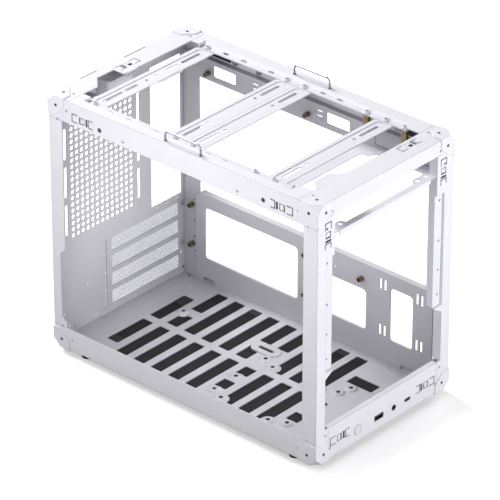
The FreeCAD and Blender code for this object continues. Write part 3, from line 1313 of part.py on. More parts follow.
def tray_frame():
    """The upper strip and the rear column, one sheet, with a fold along the top."""
    x = (TRAY, f"{TRAY} + sheet")
    column_y = (f"{BACK[0]} - tray_column", BACK[0])
    strip_z = (STRIP_LOW, STRIP_HIGH)
    strip = block(x, ("tray_front", column_y[1]), strip_z)
    column = block(x, column_y, (FLOOR_TOP, STRIP_HIGH))
    fold = block((TRAY, "case_width - sheet"), ("tray_front", "case_depth - 20 * sheet"),
                 (f"{STRIP_HIGH} - sheet", STRIP_HIGH))
    tongue = prism("x", [
        ("tray_front", STRIP_LOW), ("tray_front", f"{STRIP_LOW} - 4.5 * sheet"),
        ("supply_rear + 2 * sheet", f"{STRIP_LOW} - 4.5 * sheet"), ("supply_rear + 5 * sheet", STRIP_LOW),
    ], x)
    window_z = ("case_height - strip_window_low", "case_height - strip_window_high")
    rear_window = ("case_depth - 73 * sheet", "case_depth - 73 * sheet + strip_window_long")
    middle_window = ("124 * sheet", "124 * sheet + strip_window_long")
    tools = [tray_cut(window, window_z, radius="2 * sheet") for window in (rear_window, middle_window)]
    for start in ("159 * sheet", "case_depth - 103 * sheet"):
        for z in (f"{STRIP_HIGH} - 8 * sheet", f"{STRIP_HIGH} - 13.5 * sheet"):
            tools.append(block((f"{TRAY} - sheet", f"{TRAY} + 2 * sheet"), (start, f"{start} + 7 * sheet"),
                               (z, f"{z} + 1.8 * sheet")))
    plate = cut(fuse(strip, column, fold, tongue), tools)
    emboss_y = ("tray_front + 6 * sheet", "tray_front + 82 * sheet")
    emboss_z = (f"{STRIP_LOW} + 4.5 * sheet", f"{STRIP_HIGH} - 3 * sheet")
    pressed = rounded("x", emboss_y, emboss_z, "3 * sheet", (f"{TRAY} - sheet", f"{TRAY} + 0.7 * sheet"))
    behind = rounded("x", emboss_y, emboss_z, "3 * sheet", (f"{TRAY} + 0.7 * sheet", f"{TRAY} + 1.7 * sheet"))
    return fuse(cut(plate, [pressed]), behind)


def tray_share(share):
    """A place on the panel, as a share of the way from its front edge to the front board hole."""
    return f"tray_panel_front + {share} * ({BOARD_FRONT} - tray_panel_front)"


def tray_panel():
    """The lower tray panel with its windows, its cable slots and a fold along the top."""
    x = (f"{TRAY} - sheet", TRAY)
    through = (f"{TRAY} - 2 * sheet", f"{TRAY} + sheet")
    rear = f"{BACK[0]} - tray_column + tray_overlap"
    corner = "tray_overlap + sheet"
    plate = prism("x", [
        ("tray_panel_front", FLOOR_TOP), (rear, FLOOR_TOP), (rear, f"{PANEL_TOP} - ({corner})"),
        (f"{rear} - ({corner})", PANEL_TOP), ("tray_panel_front", PANEL_TOP),
    ], x)
    fold = block((f"{TRAY} - sheet", f"{TRAY} + tray_flange"), ("tray_panel_front", f"{rear} - ({corner})"),
                 (f"{PANEL_TOP} - sheet", PANEL_TOP))
    low = "28.5 * sheet"
    tools = [
        tray_cut((f"{BOARD_MIDDLE} + 12 * sheet", f"{rear} - 13.5 * sheet"), (low, f"{PANEL_TOP} - 15 * sheet")),
        tray_cut((f"{BOARD_FRONT} - 5.6 * sheet", f"{BOARD_MIDDLE} - 6 * sheet"), (low, f"{PANEL_TOP} - 29.5 * sheet")),
        tray_cut((tray_share(0.276), tray_share(0.59)), (low, f"{PANEL_TOP} - 14.5 * sheet")),
        rod("x", (f"{BOARD_MIDDLE} - 37 * sheet", BOARD_ROW), "spare_hole_radius", through),
    ]
    for z in ("31 * sheet", f"{PANEL_TOP} - 20.5 * sheet"):
        for share in (0.132, 0.199, 0.651, 0.717):
            start = tray_share(share)
            tools.append(block(through, (start, f"{start} + 3.2 * sheet"), (z, f"{z} + 12 * sheet")))
    for start in ("tray_panel_front + 24 * sheet", f"{rear} - 26 * sheet"):
        tools.append(block(through, (start, f"{start} + 15 * sheet"), ("0", f"{FLOOR_TOP} + 4.5 * sheet")))
    return cut(fuse(plate, fold), tools)


def standoff(length):
    """A threaded hexagonal stand-off at the origin."""
    bar = hexagon("standoff_flats / 2", length)
    bore = doc.addObject("Part::Cylinder", "bore")
    bore.setExpression("Radius", formula("standoff_bore"))
    bore.setExpression("Height", formula(f"{length} + sheet"))
    return cut(bar, [bore])


def standoffs():
    """Brass stand-offs for the main board, their ends in one plane."""
    facing_left = Rotation(Vector(0, 1, 0), -90)
    on_frame = [
        (f"{BOARD_REAR} - board_rear_step", BOARD_TOP), (BOARD_MIDDLE, BOARD_TOP),
        (BOARD_REAR, BOARD_ROW), (BOARD_REAR, BOARD_LOW),
    ]
    on_panel = [(BOARD_MIDDLE, BOARD_ROW), (BOARD_MIDDLE, BOARD_LOW), (BOARD_FRONT, BOARD_ROW)]
    return group([
        copies(standoff("standoff_length"), [(TRAY, y, z) for y, z in on_frame], facing_left),
        copies(standoff("standoff_length - sheet"), [(f"{TRAY} - sheet", y, z) for y, z in on_panel], facing_left),
    ])


node("tray_frame", tray_frame())
node("tray_panel", tray_panel())
node("board_standoffs", standoffs())


# Rear panel, card slots and rivets
THROUGH_BACK = ("case_depth - 3 * sheet", "case_depth")


CLAMP_SCREW = (f"{CLAMP_LEFT} + 6 * sheet", "card_slot_z + 31.3 * sheet")


def card_line(index):
    """The centre height of a card slot."""
    return f"card_slot_z + {index} * card_slot_pitch"


def rear_panel():
    """The rear wall with its vent, fan slots, socket cut-out and card openings."""
    plate = block(("sheet", "case_width - sheet"), BACK, ("floor_gap", "case_height - sheet"))
    fold = block(("rail_width", from_right("rail_width")), (f"{BACK[0]} - panel_flange", BACK[1]),
                 (FLOOR_TOP, f"{FLOOR_TOP} + sheet"))
    ledge = block(("notch_from - 17.6 * sheet", "notch_from - 3 * sheet"), (f"{BACK[0]} - 13 * sheet", BACK[1]),
                  (f"{RAIL_FOOT} + 6 * sheet", f"{RAIL_FOOT} + 7 * sheet"))
    tools = [rod("y", (f"vent_x + {i} * vent_pitch", f"case_height - vent_down - {j} * vent_pitch"),
                 "vent_radius", THROUGH_BACK) for i in range(VENT_COLUMNS) for j in range(VENT_ROWS)]
    for line in ("fan_slot_x", "fan_slot_x + fan_slot_across"):
        for i in range(FAN_SLOTS):
            low = f"case_height - fan_slot_down + {i} * fan_slot_pitch"
            tools.append(row_slot("y", "z", low, f"{low} + fan_slot_long", line, "fan_slot_wide", THROUGH_BACK))
    cut_top, cut_left = f"{BOARD_TOP} + socket_cut_rise", from_right("socket_cut_in")
    tools.append(block((cut_left, f"{cut_left} + socket_cut_wide"), THROUGH_BACK,
                       (f"{cut_top} - socket_cut_high", cut_top)))
    for i in range(CARD_SLOTS):
        z = (f"{card_line(i)} - card_slot_high / 2", f"{card_line(i)} + card_slot_high / 2")
        tools.append(rounded("y", (CARD_SLOT_LEFT, CARD_SLOT_RIGHT), z, "2 * sheet", THROUGH_BACK))
    low = "card_slot_z - card_slot_high / 2 - 2 * sheet"
    slit = from_right("slit_in")
    slit_z = (f"{low} + slit_wide", f"{card_line(CARD_SLOTS - 1)} + card_cover_high / 2 - sheet")
    tools.append(block((f"{slit} - slit_wide / 2", f"{slit} + slit_wide / 2"), THROUGH_BACK, slit_z))
    tools.append(block((f"{CLAMP_RIGHT} - 10 * sheet", slit), THROUGH_BACK, (f"{low} - slit_thin", low)))
    tools.append(rod("y", CLAMP_SCREW, "drive_hole_radius", THROUGH_BACK))
    return trimmed(fuse(plate, fold, ledge), tools)


def slot_cover(index):
    """A blanking plate over one card opening, with two rows of vent slots."""
    line = card_line(index)
    z = (f"{line} - card_cover_high / 2", f"{line} + card_cover_high / 2")
    plate = block((COVER_LEFT, COVER_RIGHT), OUTSIDE, z)
    hole = rod("y", (f"{COVER_LEFT} + 4 * sheet", line), "drive_hole_radius", (OUTSIDE[0], "case_depth + sheet"))
    reach = "(card_slot_left - card_slot_right - 6 * sheet)"
    tools = [hole]
    for side in "+-":
        for i in range(COVER_VENTS):
            start = f"{CARD_SLOT_LEFT} + 3 * sheet + {reach} * {i} / {COVER_VENTS}"
            row = f"{line} {side} card_slot_high / 5"
            tools.append(block((start, f"{start} + {reach} * 0.6 / {COVER_VENTS}"),
                               (OUTSIDE[0], "case_depth + sheet"),
                               (f"{row} - card_cover_vent", f"{row} + card_cover_vent")))
    return cut(plate, tools)


def slot_clamp():
    """The plate that clamps the covers' ends."""
    z = ("card_slot_z - card_slot_high / 2", f"{card_line(CARD_SLOTS - 1)} + card_slot_high / 2")
    return block((CLAMP_LEFT, CLAMP_RIGHT), OUTSIDE, z)


def slot_screws():
    """One low screw in each cover and one in the clamp."""
    radius = "drive_hole_radius - bolt_gap"
    screws = [rod("y", (f"{COVER_LEFT} + 4 * sheet", card_line(i)), radius, (OUTSIDE[0], "case_depth + cap_proud / 2"))
              for i in range(CARD_SLOTS)]
    return group([*screws, rod("y", CLAMP_SCREW, radius, (f"{BACK[0]} - cap_proud / 2", OUTSIDE[0]))])


def panel_rivets():
    """Rivet heads on the rear panel and on its fold."""
    face = (f"{BACK[0]} - rivet_high", BACK[0])
    low = f"{FLOOR_TOP} + sheet"
    line = f"{low} + rivet_radius"
    rivets = [rod("y", (x, line), "rivet_radius", face) for x in ("29.3 * sheet", from_right("29.3 * sheet"))]
    fold_y = f"{BACK[0]} - 3 * sheet"
    rivets += [rod("z", (x, fold_y), "rivet_radius / 2", (low, f"{low} + rivet_high / 2"))
               for x in ("64.7 * sheet", from_right("64.7 * sheet"))]
    return group(rivets)


node("rear_panel", rear_panel())
for number in range(CARD_SLOTS):
    node(f"slot_cover_{number + 1}", slot_cover(number))
node("slot_clamp", slot_clamp())
node("slot_screws", slot_screws())
node("panel_rivets", panel_rivets())


# Building, checking and writing
doc.recompute()
for thing in doc.Objects:
    if {"Invalid", "Error"} & set(thing.State):
        raise RuntimeError(f"{thing.Name} ({thing.Label}) failed: {thing.State}")
os.makedirs("parts", exist_ok=True)
for thing in nodes:
    shape = thing.Shape
    if shape.isNull() or not shape.isValid() or not shape.Solids:
        raise RuntimeError(f"{thing.Label} has no valid solid")
    shape.exportStep(f"parts/{thing.Label}.step")
    box = shape.BoundBox
    corner = f"{box.XMin:.1f} {box.YMin:.1f} {box.ZMin:.1f} to {box.XMax:.1f} {box.YMax:.1f} {box.ZMax:.1f}"
    print(f"{thing.Label}: {len(shape.Solids)} solids, {shape.Volume:.0f} mm3, {corner}")
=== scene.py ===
import json
import math

import bmesh
import bpy
from mathutils import Matrix, Vector
from mathutils.geometry import delaunay_2d_cdt

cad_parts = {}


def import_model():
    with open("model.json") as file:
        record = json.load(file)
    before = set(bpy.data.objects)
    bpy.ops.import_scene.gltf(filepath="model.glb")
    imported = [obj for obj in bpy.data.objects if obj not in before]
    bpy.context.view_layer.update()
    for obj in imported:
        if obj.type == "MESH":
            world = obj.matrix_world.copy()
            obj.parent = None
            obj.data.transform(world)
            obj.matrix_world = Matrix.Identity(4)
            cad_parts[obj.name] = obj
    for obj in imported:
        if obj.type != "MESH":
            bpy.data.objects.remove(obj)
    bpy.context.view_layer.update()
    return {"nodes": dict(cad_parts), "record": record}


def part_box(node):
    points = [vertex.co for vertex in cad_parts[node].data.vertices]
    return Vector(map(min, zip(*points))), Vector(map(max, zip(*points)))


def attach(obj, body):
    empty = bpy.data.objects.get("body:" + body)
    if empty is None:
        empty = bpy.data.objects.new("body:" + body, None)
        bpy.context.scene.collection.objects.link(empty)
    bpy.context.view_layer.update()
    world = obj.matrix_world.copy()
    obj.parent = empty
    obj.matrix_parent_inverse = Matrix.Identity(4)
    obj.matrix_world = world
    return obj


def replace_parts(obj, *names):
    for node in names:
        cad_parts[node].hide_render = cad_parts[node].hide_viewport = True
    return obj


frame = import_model()
nodes = frame["nodes"]

MM = 0.001
WIDTH, DEPTH, HEIGHT, FOOT = 198, 346, 281, 7


def at(x, y, z):
    """A point in case millimetres (left side, front, underside of the rails) in the frame's metres."""
    return Vector((x - WIDTH / 2, y - DEPTH / 2, z + FOOT)) * MM


# Node helpers for the materials
def linear(code):
    """An sRGB hex code as a linear colour with full cover."""
    parts = [int(code[i:i + 2], 16) / 255 for i in (1, 3, 5)]
    return [c / 12.92 if c <= 0.04045 else ((c + 0.055) / 1.055) ** 2.4 for c in parts] + [1.0]


def per_mm(size):
    """Texture scale for a pattern whose features are this many millimetres across."""
    return 1000 / size


class Shader:
    """A material whose nodes are added one call at a time."""

    def __init__(self, name):
        self.material = bpy.data.materials.new(name)
        self.material.use_nodes = True
        self.tree = self.material.node_tree
        self.tree.nodes.clear()
        self.output = self.tree.nodes.new("ShaderNodeOutputMaterial")

    def add(self, kind, sockets=None, **settings):
        """A node with its settings, its socket values and its links."""
        made = self.tree.nodes.new(kind)
        for name, setting in settings.items():
            setattr(made, name, setting)
        for name, given in (sockets or {}).items():
            socket = made.inputs[name]
            if isinstance(given, bpy.types.NodeSocket):
                self.tree.links.new(given, socket)
            else:
                socket.default_value = given
        return made

    def surface(self, **sockets):
        """The finish itself, joined to the output."""
        named = {key.replace("_", " "): given for key, given in sockets.items()}
        made = self.add("ShaderNodeBsdfPrincipled", named)
        self.tree.links.new(made.outputs["BSDF"], self.output.inputs["Surface"])
        return made

    def where(self):
        """Places on the object, in metres."""
        return self.add("ShaderNodeTexCoord").outputs["Object"]

    def noise(self, size, detail=2.0, roughness=0.5, where=None):
        """Noise with features of a size in millimetres."""
        given = {"Scale": per_mm(size), "Detail": detail, "Roughness": roughness}
        given["Vector"] = where or self.where()
        return self.add("ShaderNodeTexNoise", given).outputs["Fac"]

    def ramp(self, factor, low, high, start=0.0, end=1.0):
        """A factor spread between two values."""
        given = {"Value": factor, "From Min": start, "From Max": end, "To Min": low, "To Max": high}
        return self.add("ShaderNodeMapRange", given).outputs["Result"]

    def math(self, kind, first, second):
        """A sum, product or other operation of two factors."""
        return self.add("ShaderNodeMath", {0: first, 1: second}, operation=kind).outputs["Value"]

    def blend(self, factor, first, second):
        """One colour turning into another."""
        made = self.add("ShaderNodeMix", data_type="RGBA")
        for index, given in ((0, factor), (6, first), (7, second)):
            if isinstance(given, bpy.types.NodeSocket):
                self.tree.links.new(given, made.inputs[index])
            else:
                made.inputs[index].default_value = given
        return made.outputs[2]

    def bump(self, height, millimetres, normal=None):
        """Relief of a depth in millimetres."""
        given = {"Height": height, "Strength": 1.0, "Distance": millimetres * MM}
        if normal:
            given["Normal"] = normal
        return self.add("ShaderNodeBump", given).outputs["Normal"]

    def soft_edge(self, millimetres):
        """A normal that turns smoothly over sharp edges, and how near a point is to such an edge."""
        turned = self.add("ShaderNodeBevel", {"Radius": millimetres * MM}, samples=6).outputs["Normal"]
        flat = self.add("ShaderNodeNewGeometry").outputs["True Normal"]
        same = self.add("ShaderNodeVectorMath", {0: turned, 1: flat}, operation="DOT_PRODUCT").outputs["Value"]
        return turned, self.ramp(same, 1.0, 0.0, 0.82, 0.995)

    def painted_shelter_shade(self, reach, half_width):
        """Painted shade for a place inside the case, from how much the rest keeps light off it; places at the
        outer walls count as open.
        """
        open_share = self.add("ShaderNodeAmbientOcclusion", {"Distance": reach}, samples=8).outputs["AO"]
        across = self.add("ShaderNodeSeparateXYZ", {0: self.where()}).outputs["X"]
        outside = self.math("GREATER_THAN", self.math("ABSOLUTE", across, 0.0), half_width)
        return self.math("MAXIMUM", self.ramp(open_share, 0.5, 0.86, 0.35, 0.9), outside)


def powder_coat(name, light, shade, edge, peel=0.012, edge_shade_strength=0.95, inside=False):
    """Satin powder coat: fine orange peel, slight clouds, uneven gloss, and a greyer painted shade along sharp
    edges and bends.
    """
    s = Shader(name)
    turned, near_edge = s.soft_edge(0.65)
    cloud = s.noise(38, 3, 0.6)
    colour = s.blend(s.ramp(cloud, 0, 1, 0.35, 0.65), linear(light), linear(shade))
    # Painted shade: near sharp edges and bends the colour turns, in patches, towards the edge colour.
    edge_shade = s.math("MULTIPLY", near_edge, s.ramp(s.noise(14, 2), edge_shade_strength - 0.3, edge_shade_strength, 0.35, 0.65))
    colour = s.blend(edge_shade, colour, linear(edge))
    if inside:
        # Painted shade: inner sheets go darker, towards black, where the rest of the case keeps light off them.
        colour = s.blend(s.painted_shelter_shade(0.15, WIDTH / 2 * MM - 0.002), linear("#000000"), colour)
    rough = s.ramp(s.noise(6, 3), 0.4, 0.52, 0.3, 0.7)
    s.surface(Base_Color=colour, Roughness=rough, Normal=s.bump(s.noise(0.9, 2, 0.55), peel, turned))
    return s.material


def plain_metal(name, colour, roughness, grain=0.15, depth=0.004):
    """Bare or plated metal with fine turned grain."""
    s = Shader(name)
    turned = s.soft_edge(0.2)[0]
    fine = s.noise(grain, 3, 0.6)
    tone = s.blend(s.ramp(s.noise(2.5, 2), 0, 1, 0.3, 0.7), linear(colour[0]), linear(colour[1]))
    s.surface(Base_Color=tone, Metallic=1.0, Roughness=s.ramp(fine, roughness[0], roughness[1]),
              Normal=s.bump(fine, depth, turned))
    return s.material


def moulded(name, colour, roughness, grain=0.35, depth=0.01):
    """Moulded plastic or rubber with fine grain."""
    s = Shader(name)
    turned = s.soft_edge(0.3)[0]
    fine = s.noise(grain, 3, 0.6)
    tone = s.blend(s.ramp(s.noise(5, 2), 0, 1, 0.3, 0.7), linear(colour[0]), linear(colour[1]))
    s.surface(Base_Color=tone, Roughness=s.ramp(fine, roughness[0], roughness[1]),
              Normal=s.bump(fine, depth, turned))
    return s.material


def woven(name, thread, gap, pitch):
    """A fine woven mesh, its threads along X and Y."""
    s = Shader(name)
    split = s.add("ShaderNodeSeparateXYZ", {0: s.where()})
    waves = []
    for axis in "XY":
        turns = s.math("MULTIPLY", split.outputs[axis], 2 * math.pi * per_mm(pitch))
        waves.append(s.math("ABSOLUTE", s.math("SINE", turns, 0.0), 0.0))
    height = s.math("MAXIMUM", waves[0], waves[1])
    cloud = s.ramp(s.noise(22, 2), 0.75, 1.0, 0.35, 0.65)
    colour = s.blend(s.math("MULTIPLY", s.ramp(height, 0.0, 1.0, 0.3, 0.9), cloud), linear(gap), linear(thread))
    s.surface(Base_Color=colour, Roughness=0.72, Specular_IOR_Level=0.25, Normal=s.bump(height, 0.12))
    return s.material


def stained_metal(name, colour, roughness):
    """Dull turned metal with small stains and paler edges."""
    s = Shader(name)
    turned, near_edge = s.soft_edge(0.25)
    fine = s.noise(0.2, 3, 0.6)
    stain = s.ramp(s.noise(1.8, 3), 0, 1, 0.35, 0.65)
    tone = s.blend(stain, linear(colour[0]), linear(colour[1]))
    tone = s.blend(s.math("MULTIPLY", near_edge, 0.5), tone, linear(colour[2]))
    s.surface(Base_Color=tone, Metallic=1.0, Roughness=s.ramp(fine, roughness[0], roughness[1]),
              Normal=s.bump(fine, 0.01, turned))
    return s.material


# The third white colour, and the third colour of each white coat below, is painted shade for edges and bends.
WHITE, WHITE_SHADE, WHITE_EDGE_SHADE = "#E9E8F0", "#E6E5ED", "#A3A2AC"
FINISHES = {
    "white_paint": powder_coat("white_powder_coat", WHITE, WHITE_SHADE, WHITE_EDGE_SHADE),
    "cap_paint": powder_coat("white_cap_coat", "#EAE9F1", "#E7E6EE", "#A8A7B1", 0.008),
    "zinc_screw": powder_coat("white_screw_coat", "#DEDDE4", "#D3D2DA", "#8D8C95", 0.004),
    # Blackened steel for the dark screws; the bolt recess discs, stand-off bore discs and latch plates take it as
    # painted shade.
    "dark_screw": plain_metal("blackened_steel_and_painted_shade", ("#3A3A3F", "#2C2C31"), (0.35, 0.5)),
    "brass": stained_metal("dull_brass", ("#857A57", "#6B6248", "#A39873"), (0.35, 0.5)),
    "chrome_wire": plain_metal("polished_chrome", ("#8E8F95", "#808188"), (0.08, 0.16), 0.4, 0.001),
    "foot_rubber": moulded("black_rubber", ("#1B1B1E", "#232327"), (0.6, 0.8), 0.5, 0.02),
    "filter_mesh": woven("black_filter_mesh", "#1A191E", "#08070B", 0.9),
    "magnet": moulded("flexible_magnet", ("#0A0A0C", "#101013"), (0.5, 0.7)),
    "button_cap": moulded("satin_white_plastic", ("#E3E2E8", "#DBDAE1"), (0.3, 0.4), 0.2, 0.003),
    "black_plastic": moulded("black_plastic", ("#151518", "#1D1D21"), (0.4, 0.55)),
    "socket_steel": plain_metal("nickel_plated_steel", ("#9B9CA2", "#8B8C93"), (0.2, 0.35)),
    "board_mask": moulded("solder_mask", ("#1B2A22", "#16231C"), (0.25, 0.35), 0.6, 0.004),
}
# The case's inner sheets get painted shade, darker where the rest keeps light off; rails and posts get painted
# dark shade lines along their edges and bends
INNER_SHADED_PAINT = powder_coat("inner_powder_coat_painted_shade", WHITE, WHITE_SHADE, WHITE_EDGE_SHADE, inside=True)
RAIL_PAINT = powder_coat("rail_powder_coat", WHITE, WHITE_SHADE, "#4E4D57", edge_shade_strength=1.2)
INNER_SHEETS = "base_pan", "tray_frame", "tray_panel", "rear_panel", "panel_rivets"
NUT_STEEL = plain_metal("dull_zinc", ("#8C8C93", "#77777E"), (0.35, 0.5))
slots = {part["node"]: part["material_slot"] for part in frame["record"]["subparts"]}
special = {name: RAIL_PAINT for name in slots if name.endswith(("_rail", "_post"))}
special.update({name: INNER_SHADED_PAINT for name in INNER_SHEETS}, rail_nuts=NUT_STEEL)
for name, obj in nodes.items():
    obj.data.materials.clear()
    obj.data.materials.append(special.get(name, FINISHES[slots[name]]))


# Mesh helpers
def piece(name, mesh, slot, body="chassis"):
    """A mesh that belongs to the object, with its finish, riding on a body."""
    made = bpy.data.objects.new(name, mesh)
    mesh.materials.append(FINISHES[slot])
    bpy.context.collection.objects.link(made)
    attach(made, body)
    return made


def finished(name, mesh):
    """The worked mesh as mesh data with its faces turned outwards."""
    bmesh.ops.recalc_face_normals(mesh, faces=mesh.faces[:])
    made = bpy.data.meshes.new(name)
    mesh.to_mesh(made)
    mesh.free()
    return made


def skin(mesh, rings):
    """Faces round a row of rings, closed at both ends."""
    sides = len(rings[0])
    for first, second in zip(rings, rings[1:]):
        for i in range(sides):
            j = (i + 1) % sides
            mesh.faces.new([first[i], first[j], second[j], second[i]])
    mesh.faces.new(list(reversed(rings[0])))
    mesh.faces.new(rings[-1])


def ring(x, z, radius, sides):
    """The corners of a round hole."""
    turns = [2 * math.pi * i / sides for i in range(sides)]
    return [(x + radius * math.cos(t), z + radius * math.sin(t)) for t in turns]


def pierced(name, outline, holes, thick, spot):
    """A flat sheet with holes; spot turns (across, up, depth) into a place in the frame."""
    loops = [outline, *holes]
    flat = [Vector(corner) for loop in loops for corner in loop]
    faces, start = [], 0
    for loop in loops:
        faces.append(list(range(start, start + len(loop))))
        start += len(loop)
    places, _, triangles, _, _, owners = delaunay_2d_cdt(flat, [], faces, 0, 1e-6)
    kept = [list(t) for t, own in zip(triangles, owners) if own == [0]]
    mesh = bmesh.new()
    low = [mesh.verts.new(spot(p[0], p[1], 0)) for p in places]
    high = [mesh.verts.new(spot(p[0], p[1], thick)) for p in places]
    counts = {}
    for t in kept:
        mesh.faces.new([low[i] for i in reversed(t)])
        mesh.faces.new([high[i] for i in t])
        for i in range(3):
            edge = (t[i], t[(i + 1) % 3])
            counts[edge] = counts.get(edge, 0) + 1
    for a, b in counts:
        if (b, a) not in counts:
            mesh.faces.new([low[a], low[b], high[b], high[a]])
    bmesh.ops.delete(mesh, geom=[v for v in mesh.verts if not v.link_faces], context="VERTS")
    return finished(name, mesh)


def case_box(node):
    """A node's box in case millimetres."""
    low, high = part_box(node)
    shift = Vector((WIDTH / 2, DEPTH / 2, -FOOT))
    return Vector(low) / MM + shift, Vector(high) / MM + shift


# Card slot covers with their fine perforation
def slot_cover(node):
    """A cover with five staggered rows of small holes where the opening is, and its screw hole."""
    rows, in_row, start = 5, 33, 83.0
    pitch, row_pitch, radius = 3.04, 2.85, 1.08
    screw_inset, screw_radius = 4, 2.2
    low, high = case_box(node)
    outline = [(low.x, low.z), (high.x, low.z), (high.x, high.z), (low.x, high.z)]
    middle = (low.z + high.z) / 2
    holes = []
    for row in range(rows):
        odd = row % 2
        up = middle + (row - rows // 2) * row_pitch
        holes += [ring(start + (odd / 2 + i) * pitch, up, radius, 8) for i in range(in_row - odd)]
    holes.append(ring(low.x + screw_inset, middle, screw_radius, 16))
    mesh = pierced(node + "_sheet", outline, holes, high.y - low.y, lambda x, z, d: at(x, low.y + d, z))
    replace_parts(piece(node + "_sheet", mesh, "white_paint"), node)


for index in range(1, 5):
    slot_cover(f"slot_cover_{index}")


# Dust filter
def dust_filter():
    """The filter's moulded rim with its two ribs, on the woven mesh."""
    low, high = case_box("dust_filter")
    outline = [(low.x, low.y), (high.x, low.y), (high.x, high.y), (low.x, high.y)]
    rim, rib, bays = 5.0, 2.5, 3
    step = (high.y - low.y - 2 * rim + rib) / bays
    holes = []
    for bay in range(bays):
        front = low.y + rim + bay * step
        holes.append([(low.x + rim, front), (high.x - rim, front), (high.x - rim, front + step - rib),
                      (low.x + rim, front + step - rib)])
    thick = (high.z - low.z) * 0.6
    mesh = pierced("filter_rim", outline, holes, thick, lambda x, y, d: at(x, y, low.z + d))
    rim_piece = piece("filter_rim", mesh, "black_plastic")
    cloth = pierced("filter_weave", outline, [], high.z - low.z - thick,
                    lambda x, y, d: at(x, y, low.z + thick + d))
    piece("filter_weave", cloth, "filter_mesh")
    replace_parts(rim_piece, "dust_filter")


dust_filter()


# Small inserts
def lathe(mesh, profile, matrix, sides):
    """Adds a turned form to a mesh; the profile is (radius, height) from the bottom up."""
    rings = []
    for radius, height in profile:
        corners = [Vector((radius * math.cos(2 * math.pi * i / sides), radius * math.sin(2 * math.pi * i / sides),
                           height)) for i in range(sides)]
        rings.append([mesh.verts.new(matrix @ (corner * MM)) for corner in corners])
    skin(mesh, rings)


def turned(name, profile, places, slot, axis, sides):
    """Several equal turned forms as one piece."""
    quarter = math.pi / 2
    turns = {"Z": Matrix(), "X": Matrix.Rotation(quarter, 4, "Y"), "-X": Matrix.Rotation(-quarter, 4, "Y")}
    mesh = bmesh.new()
    for place in places:
        lathe(mesh, profile, Matrix.Translation(at(*place)) @ turns[axis], sides)
    piece(name, finished(name, mesh), slot)


def bolt_recess_shades():
    """A dark disc on each bar bolt's head, painted shade standing in for its drive recess."""
    inset, top = 18.6, 278.85
    rows = (45.8, 69.8, 93.8, 173.5, 196.0, 300.8)
    places = [(x, y, top) for y in rows for x in (inset, WIDTH - inset)]
    profile = [(0.9, 0.0), (1.0, 0.05), (1.0, 0.25), (0.85, 0.3)]
    turned("bolt_recess_shades", profile, places, "dark_screw", "Z", 6)


def column_screws():
    """Small dark screws in the board tray's rear column."""
    profile = [(0.8, 0.0), (0.8, 0.3), (0.6, 0.5), (0.3, 0.55)]
    places = [(190, 330, 92), (190, 330, 67), (190, 330, 48.3), (190, 329, 31.7)]
    turned("column_screws", profile, places, "dark_screw", "-X", 16)


def tongue(name, node, width, height, depth, lift, slot):
    """The tongue inside a socket, its front edge chamfered."""
    low, high = case_box(node)
    x, z = (low.x + high.x) / 2, (low.z + high.z) / 2 + lift
    chamfer, front, back = 0.5, *depth
    corners = ((-1, -1), (1, -1), (1, 1), (-1, 1))
    mesh = bmesh.new()
    rings = []
    for y, share in ((front, 0.7), (front + chamfer, 1.0), (back, 1.0)):
        w, h = width / 2 - (1 - share) * chamfer, height / 2 * share
        rings.append([mesh.verts.new(at(x + side * w, y, z + end * h)) for side, end in corners])
    skin(mesh, rings)
    piece(name, finished(name, mesh), slot)


def chips(name, boxes, slot, chamfer=0.15):
    """Small flat plates with chamfered edges as one piece; each is given by its ranges in case millimetres."""
    mesh = bmesh.new()
    for x, y, z in boxes:
        low, high = at(x[0], y[0], z[0]), at(x[1], y[1], z[1])
        made = bmesh.ops.create_cube(mesh, size=1.0)["verts"]
        for vert in made:
            share = vert.co + Vector((0.5, 0.5, 0.5))
            vert.co = Vector(low[i] + share[i] * (high[i] - low[i]) for i in range(3))
        edges = list({edge for vert in made for edge in vert.link_edges})
        bmesh.ops.bevel(mesh, geom=edges, offset=chamfer * MM, segments=1, affect="EDGES")
    piece(name, finished(name, mesh), slot)


def mirror(box):
    """The same box on the other side."""
    (low, high), y, z = box
    return (WIDTH - high, WIDTH - low), y, z


def latch_tongues():
    """The white tongue of each stamped latch, which leaves a slit round it, dark from the black plate behind:
    painted shade.
    """
    outer, inner, half = 0.1, 0.95, 2.85
    deep, top = (outer, inner), (HEIGHT - inner, HEIGHT - outer)

    def about(middle):
        return middle - half, middle + half

    boxes = [(deep, y, about(265.5)) for y in ((299.0, 303.6), (42.0, 46.6))]
    boxes.append((about(15), deep, (244.4, 249.2)))
    boxes.append(((32.0, 36.4), deep, about(16.85)))
    boxes += [mirror(box) for box in boxes]
    wide, stem, arm = 3.6, 2.3, 6.7
    for x, y in ((147.1, 17.0), (93.7, 331.0)):
        boxes.append(((x, x + stem), (y - wide, y + wide), top))
        boxes.append(((x + stem, x + arm), (y + 0.6, y + wide), top))
    chips("latch_tongues", boxes, "white_paint")


def dimples():
    """White plugs in the rails' two small side holes, a little off centre."""
    profile = [(1.35, 0.0), (1.35, 1.0), (1.1, 1.2), (0.6, 1.3)]
    depth, height, rows = 1.5, 263.4, (247.3, 100.3)
    for name, axis, x in (("left_dimples", "-X", depth), ("right_dimples", "X", WIDTH - depth)):
        turned(name, profile, [(x, y, height) for y in rows], "white_paint", axis, 20)


def standoff_bore_shades():
    """Dark discs on the board's stand-offs, painted shade standing in for their threaded bores."""
    face = 183.55
    high, middle, low = 243.5, 86.02, 40.3
    spots = ((309.04, high), (176.96, high), (331.9, middle), (331.9, low), (176.96, middle), (176.96, low),
             (104.57, middle))
    profile = [(1.75, 0.0), (1.75, 0.1), (1.4, 0.16)]
    turned("standoff_bore_shades", profile, [(face, y, z) for y, z in spots], "dark_screw", "-X", 16)


